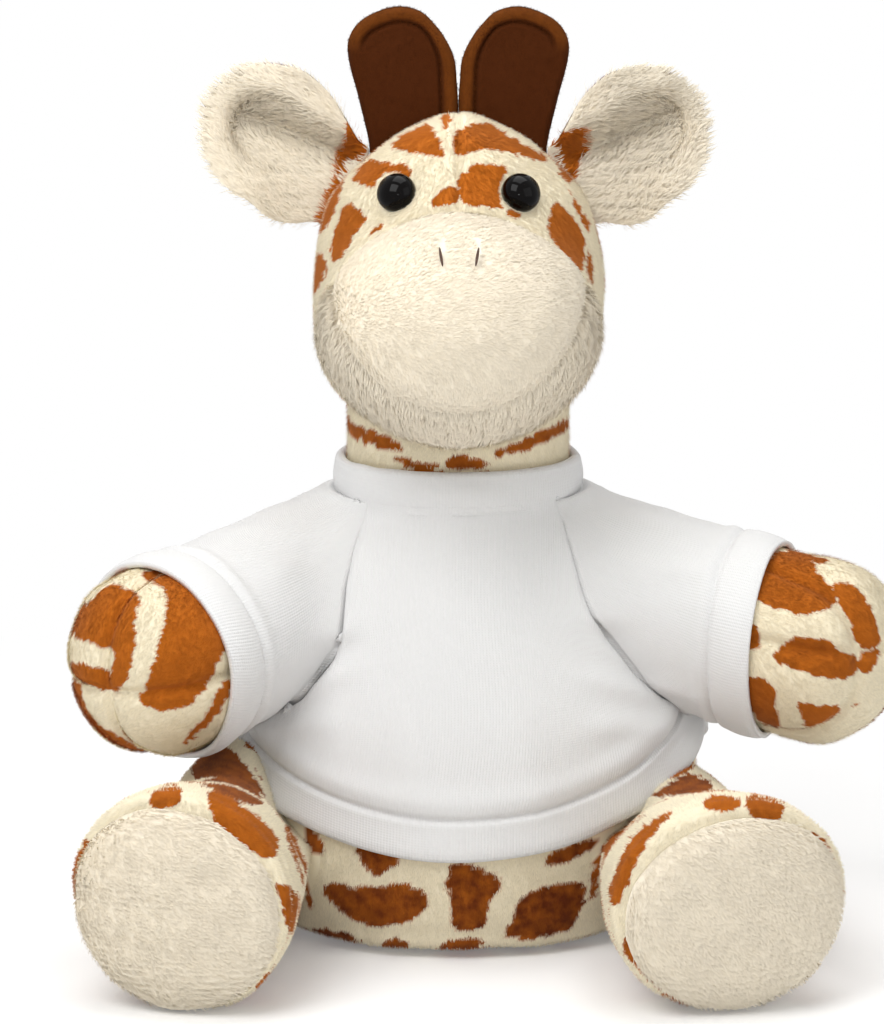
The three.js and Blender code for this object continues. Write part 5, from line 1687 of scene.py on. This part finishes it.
def light_room(scene, settings):
    """Even soft light from all round, white where the camera sees it."""
    world = scene.world or bpy.data.worlds.new("Soft room")
    scene.world = world
    world.use_nodes = True
    tree = world.node_tree
    tree.nodes.clear()
    soft, white = (
        add_node(tree, "ShaderNodeBackground", {"Color": colour, "Strength": strength}).outputs[0]
        for colour, strength in ((linear("#fdfcfa"), settings.room_light), (WHITE, 1.0))
    )
    mixed = add_node(tree, "ShaderNodeMixShader", {0: seen_directly(tree), 1: soft, 2: white})
    add_node(tree, "ShaderNodeOutputWorld", {"Surface": mixed.outputs[0]})


def make_stage(settings):
    """Pale floor, soft lamps and the camera of the photograph."""
    scene = bpy.context.scene
    add_floor(settings)
    light_room(scene, settings)
    for name, spot, share, size in LAMPS:
        lamp = bpy.data.lights.new(name, "AREA")
        lamp.energy, lamp.size = settings.key_light * share, size * MM
        holder = bpy.data.objects.new(name, lamp)
        scene.collection.objects.link(holder)
        holder.location = np.array(spot) * MM
        holder.rotation_euler = to_track(np.array(LIT_POINT) - np.array(spot))
    lens = bpy.data.cameras.new("Photograph")
    lens.sensor_fit, lens.sensor_height, lens.sensor_width = "VERTICAL", SENSOR, SENSOR
    lens.lens = LENS_PIXELS / PHOTO_SIZE[1] * SENSOR
    lens.clip_end = 20
    camera = bpy.data.objects.new("Photograph", lens)
    scene.collection.objects.link(camera)
    camera.location = camera_place() * MM
    camera.rotation_euler = (np.radians(90 - CAMERA_RISE), 0, 0)
    scene.camera = camera
    scene.view_settings.view_transform = "Standard"


def to_track(aim):
    """Turn that points a lamp's -Z along the aim: pitch from the vertical, then heading."""
    x, y, z = unit(aim)
    return (np.arccos(-z), 0, np.arctan2(-x, y))


# ---------------------------------------------------------------- settings, operators and panel


def colour_of(label, about, code):
    """A colour property whose default is an sRGB hex code."""
    return bpy.props.FloatVectorProperty(
        name=label, description=about, subtype="COLOR", size=3, min=0, max=1, default=linear(code)[:3],
    )


def number_of(label, about, value, unit="NONE"):
    """A number property, in metres where its unit is a length."""
    return bpy.props.FloatProperty(name=label, description=about, default=value, unit=unit)


class PlushSettings(bpy.types.PropertyGroup):
    """Sizes and colours of the plush."""

    ground: colour_of("Ground", "Cream between the patches", "#fbf0d4")
    cream: colour_of("Cream", "Long pile of muzzle, ears and soles", "#f9efdb")
    patch: colour_of("Patch", "Brown of the patches", "#ca6f1a")
    patch_dark: colour_of("Dark patch", "Darkest brown of the patches", "#6e2f0a")
    short_length: number_of("Short pile", "Length of the spotted pile", 0.95 * MM, "LENGTH")
    long_length: number_of("Long pile", "Length of the cream pile", 2.3 * MM, "LENGTH")
    fibre_width: number_of("Fibre bundle", "Width of one drawn bundle of fibres", 0.15 * MM, "LENGTH")
    short_density: number_of("Short bundles", "Bundles per square millimetre of spotted pile", 9.8)
    long_density: number_of("Long bundles", "Bundles per square millimetre of cream pile", 8.0)
    cell_size: number_of("Patch size", "Spacing of the patches in millimetres", 14.0)
    lane_width: number_of("Lanes", "Width of the cream lanes in millimetres", 2.6)


class ShirtSettings(bpy.types.PropertyGroup):
    """Cloth of the shirt."""

    cloth: colour_of("Cloth", "Colour of the jersey", "#e1e1e1")
    thickness: number_of("Thickness", "Thickness of the jersey with its seams", 1.1 * MM, "LENGTH")


class StageSettings(bpy.types.PropertyGroup):
    """Light of the stage."""

    key_light: number_of("Key lamp", "Power of the key softbox", 3.0, "POWER")
    room_light: number_of("Room light", "Strength of the even room light", 0.44)
    floor_lift: number_of("Floor lift", "What the camera sees of the paper beyond its lit colour", 0.16)


def operator(make, group):
    """An Operator class that makes one piece or one group of like pieces from its settings."""

    def execute(self, context):
        make(getattr(context.scene, group))
        return {"FINISHED"}

    key = make.__name__.removeprefix("make_")
    label = key.replace("_", " ").capitalize()
    return type(
        f"GIRAFFE_OT_{key}", (bpy.types.Operator,),
        {"__doc__": make.__doc__, "bl_idname": f"giraffe.{key}", "bl_label": label, "execute": execute},
    )


# in the order in which the pieces are made
OPERATORS = [
    operator(make, group)
    for group, makes in (
        ("giraffe_plush", (make_body, make_neck, make_head, make_muzzle, make_eyes, make_nostrils, make_ears,
                           make_horns, make_arms, make_legs, make_tail)),
        ("giraffe_shirt", (make_shirt_body, make_sleeves, make_collar)),
        ("giraffe_plush", (make_eye_washers,)),
        ("giraffe_stage", (make_stage,)),
    )
    for make in makes
]


class GIRAFFE_PT_pieces(bpy.types.Panel):
    """Lists the pieces of the giraffe in the sidebar."""

    bl_idname = "GIRAFFE_PT_pieces"
    bl_label = "Plush Giraffe"
    bl_space_type = "VIEW_3D"
    bl_region_type = "UI"
    bl_category = "Giraffe"

    def draw(self, context):
        for made in OPERATORS:
            self.layout.operator(made.bl_idname)


CLASSES = [PlushSettings, ShirtSettings, StageSettings, *OPERATORS, GIRAFFE_PT_pieces]
GROUPS = {"giraffe_plush": PlushSettings, "giraffe_shirt": ShirtSettings, "giraffe_stage": StageSettings}


def register():
    """Registers the classes and hangs the settings on the scene."""
    for made in CLASSES:
        bpy.utils.register_class(made)
    for name, group in GROUPS.items():
        setattr(bpy.types.Scene, name, bpy.props.PointerProperty(type=group))


def unregister():
    """Takes the settings and the classes off again."""
    for name in GROUPS:
        delattr(bpy.types.Scene, name)
    for made in reversed(CLASSES):
        bpy.utils.unregister_class(made)


def main():
    """Makes every piece in order, and writes the frame's box and the dressed giraffe's box."""
    register()
    for made in OPERATORS:
        getattr(bpy.ops.giraffe, made.bl_idname.split(".")[1])()


if __name__ == "__main__":
    main()
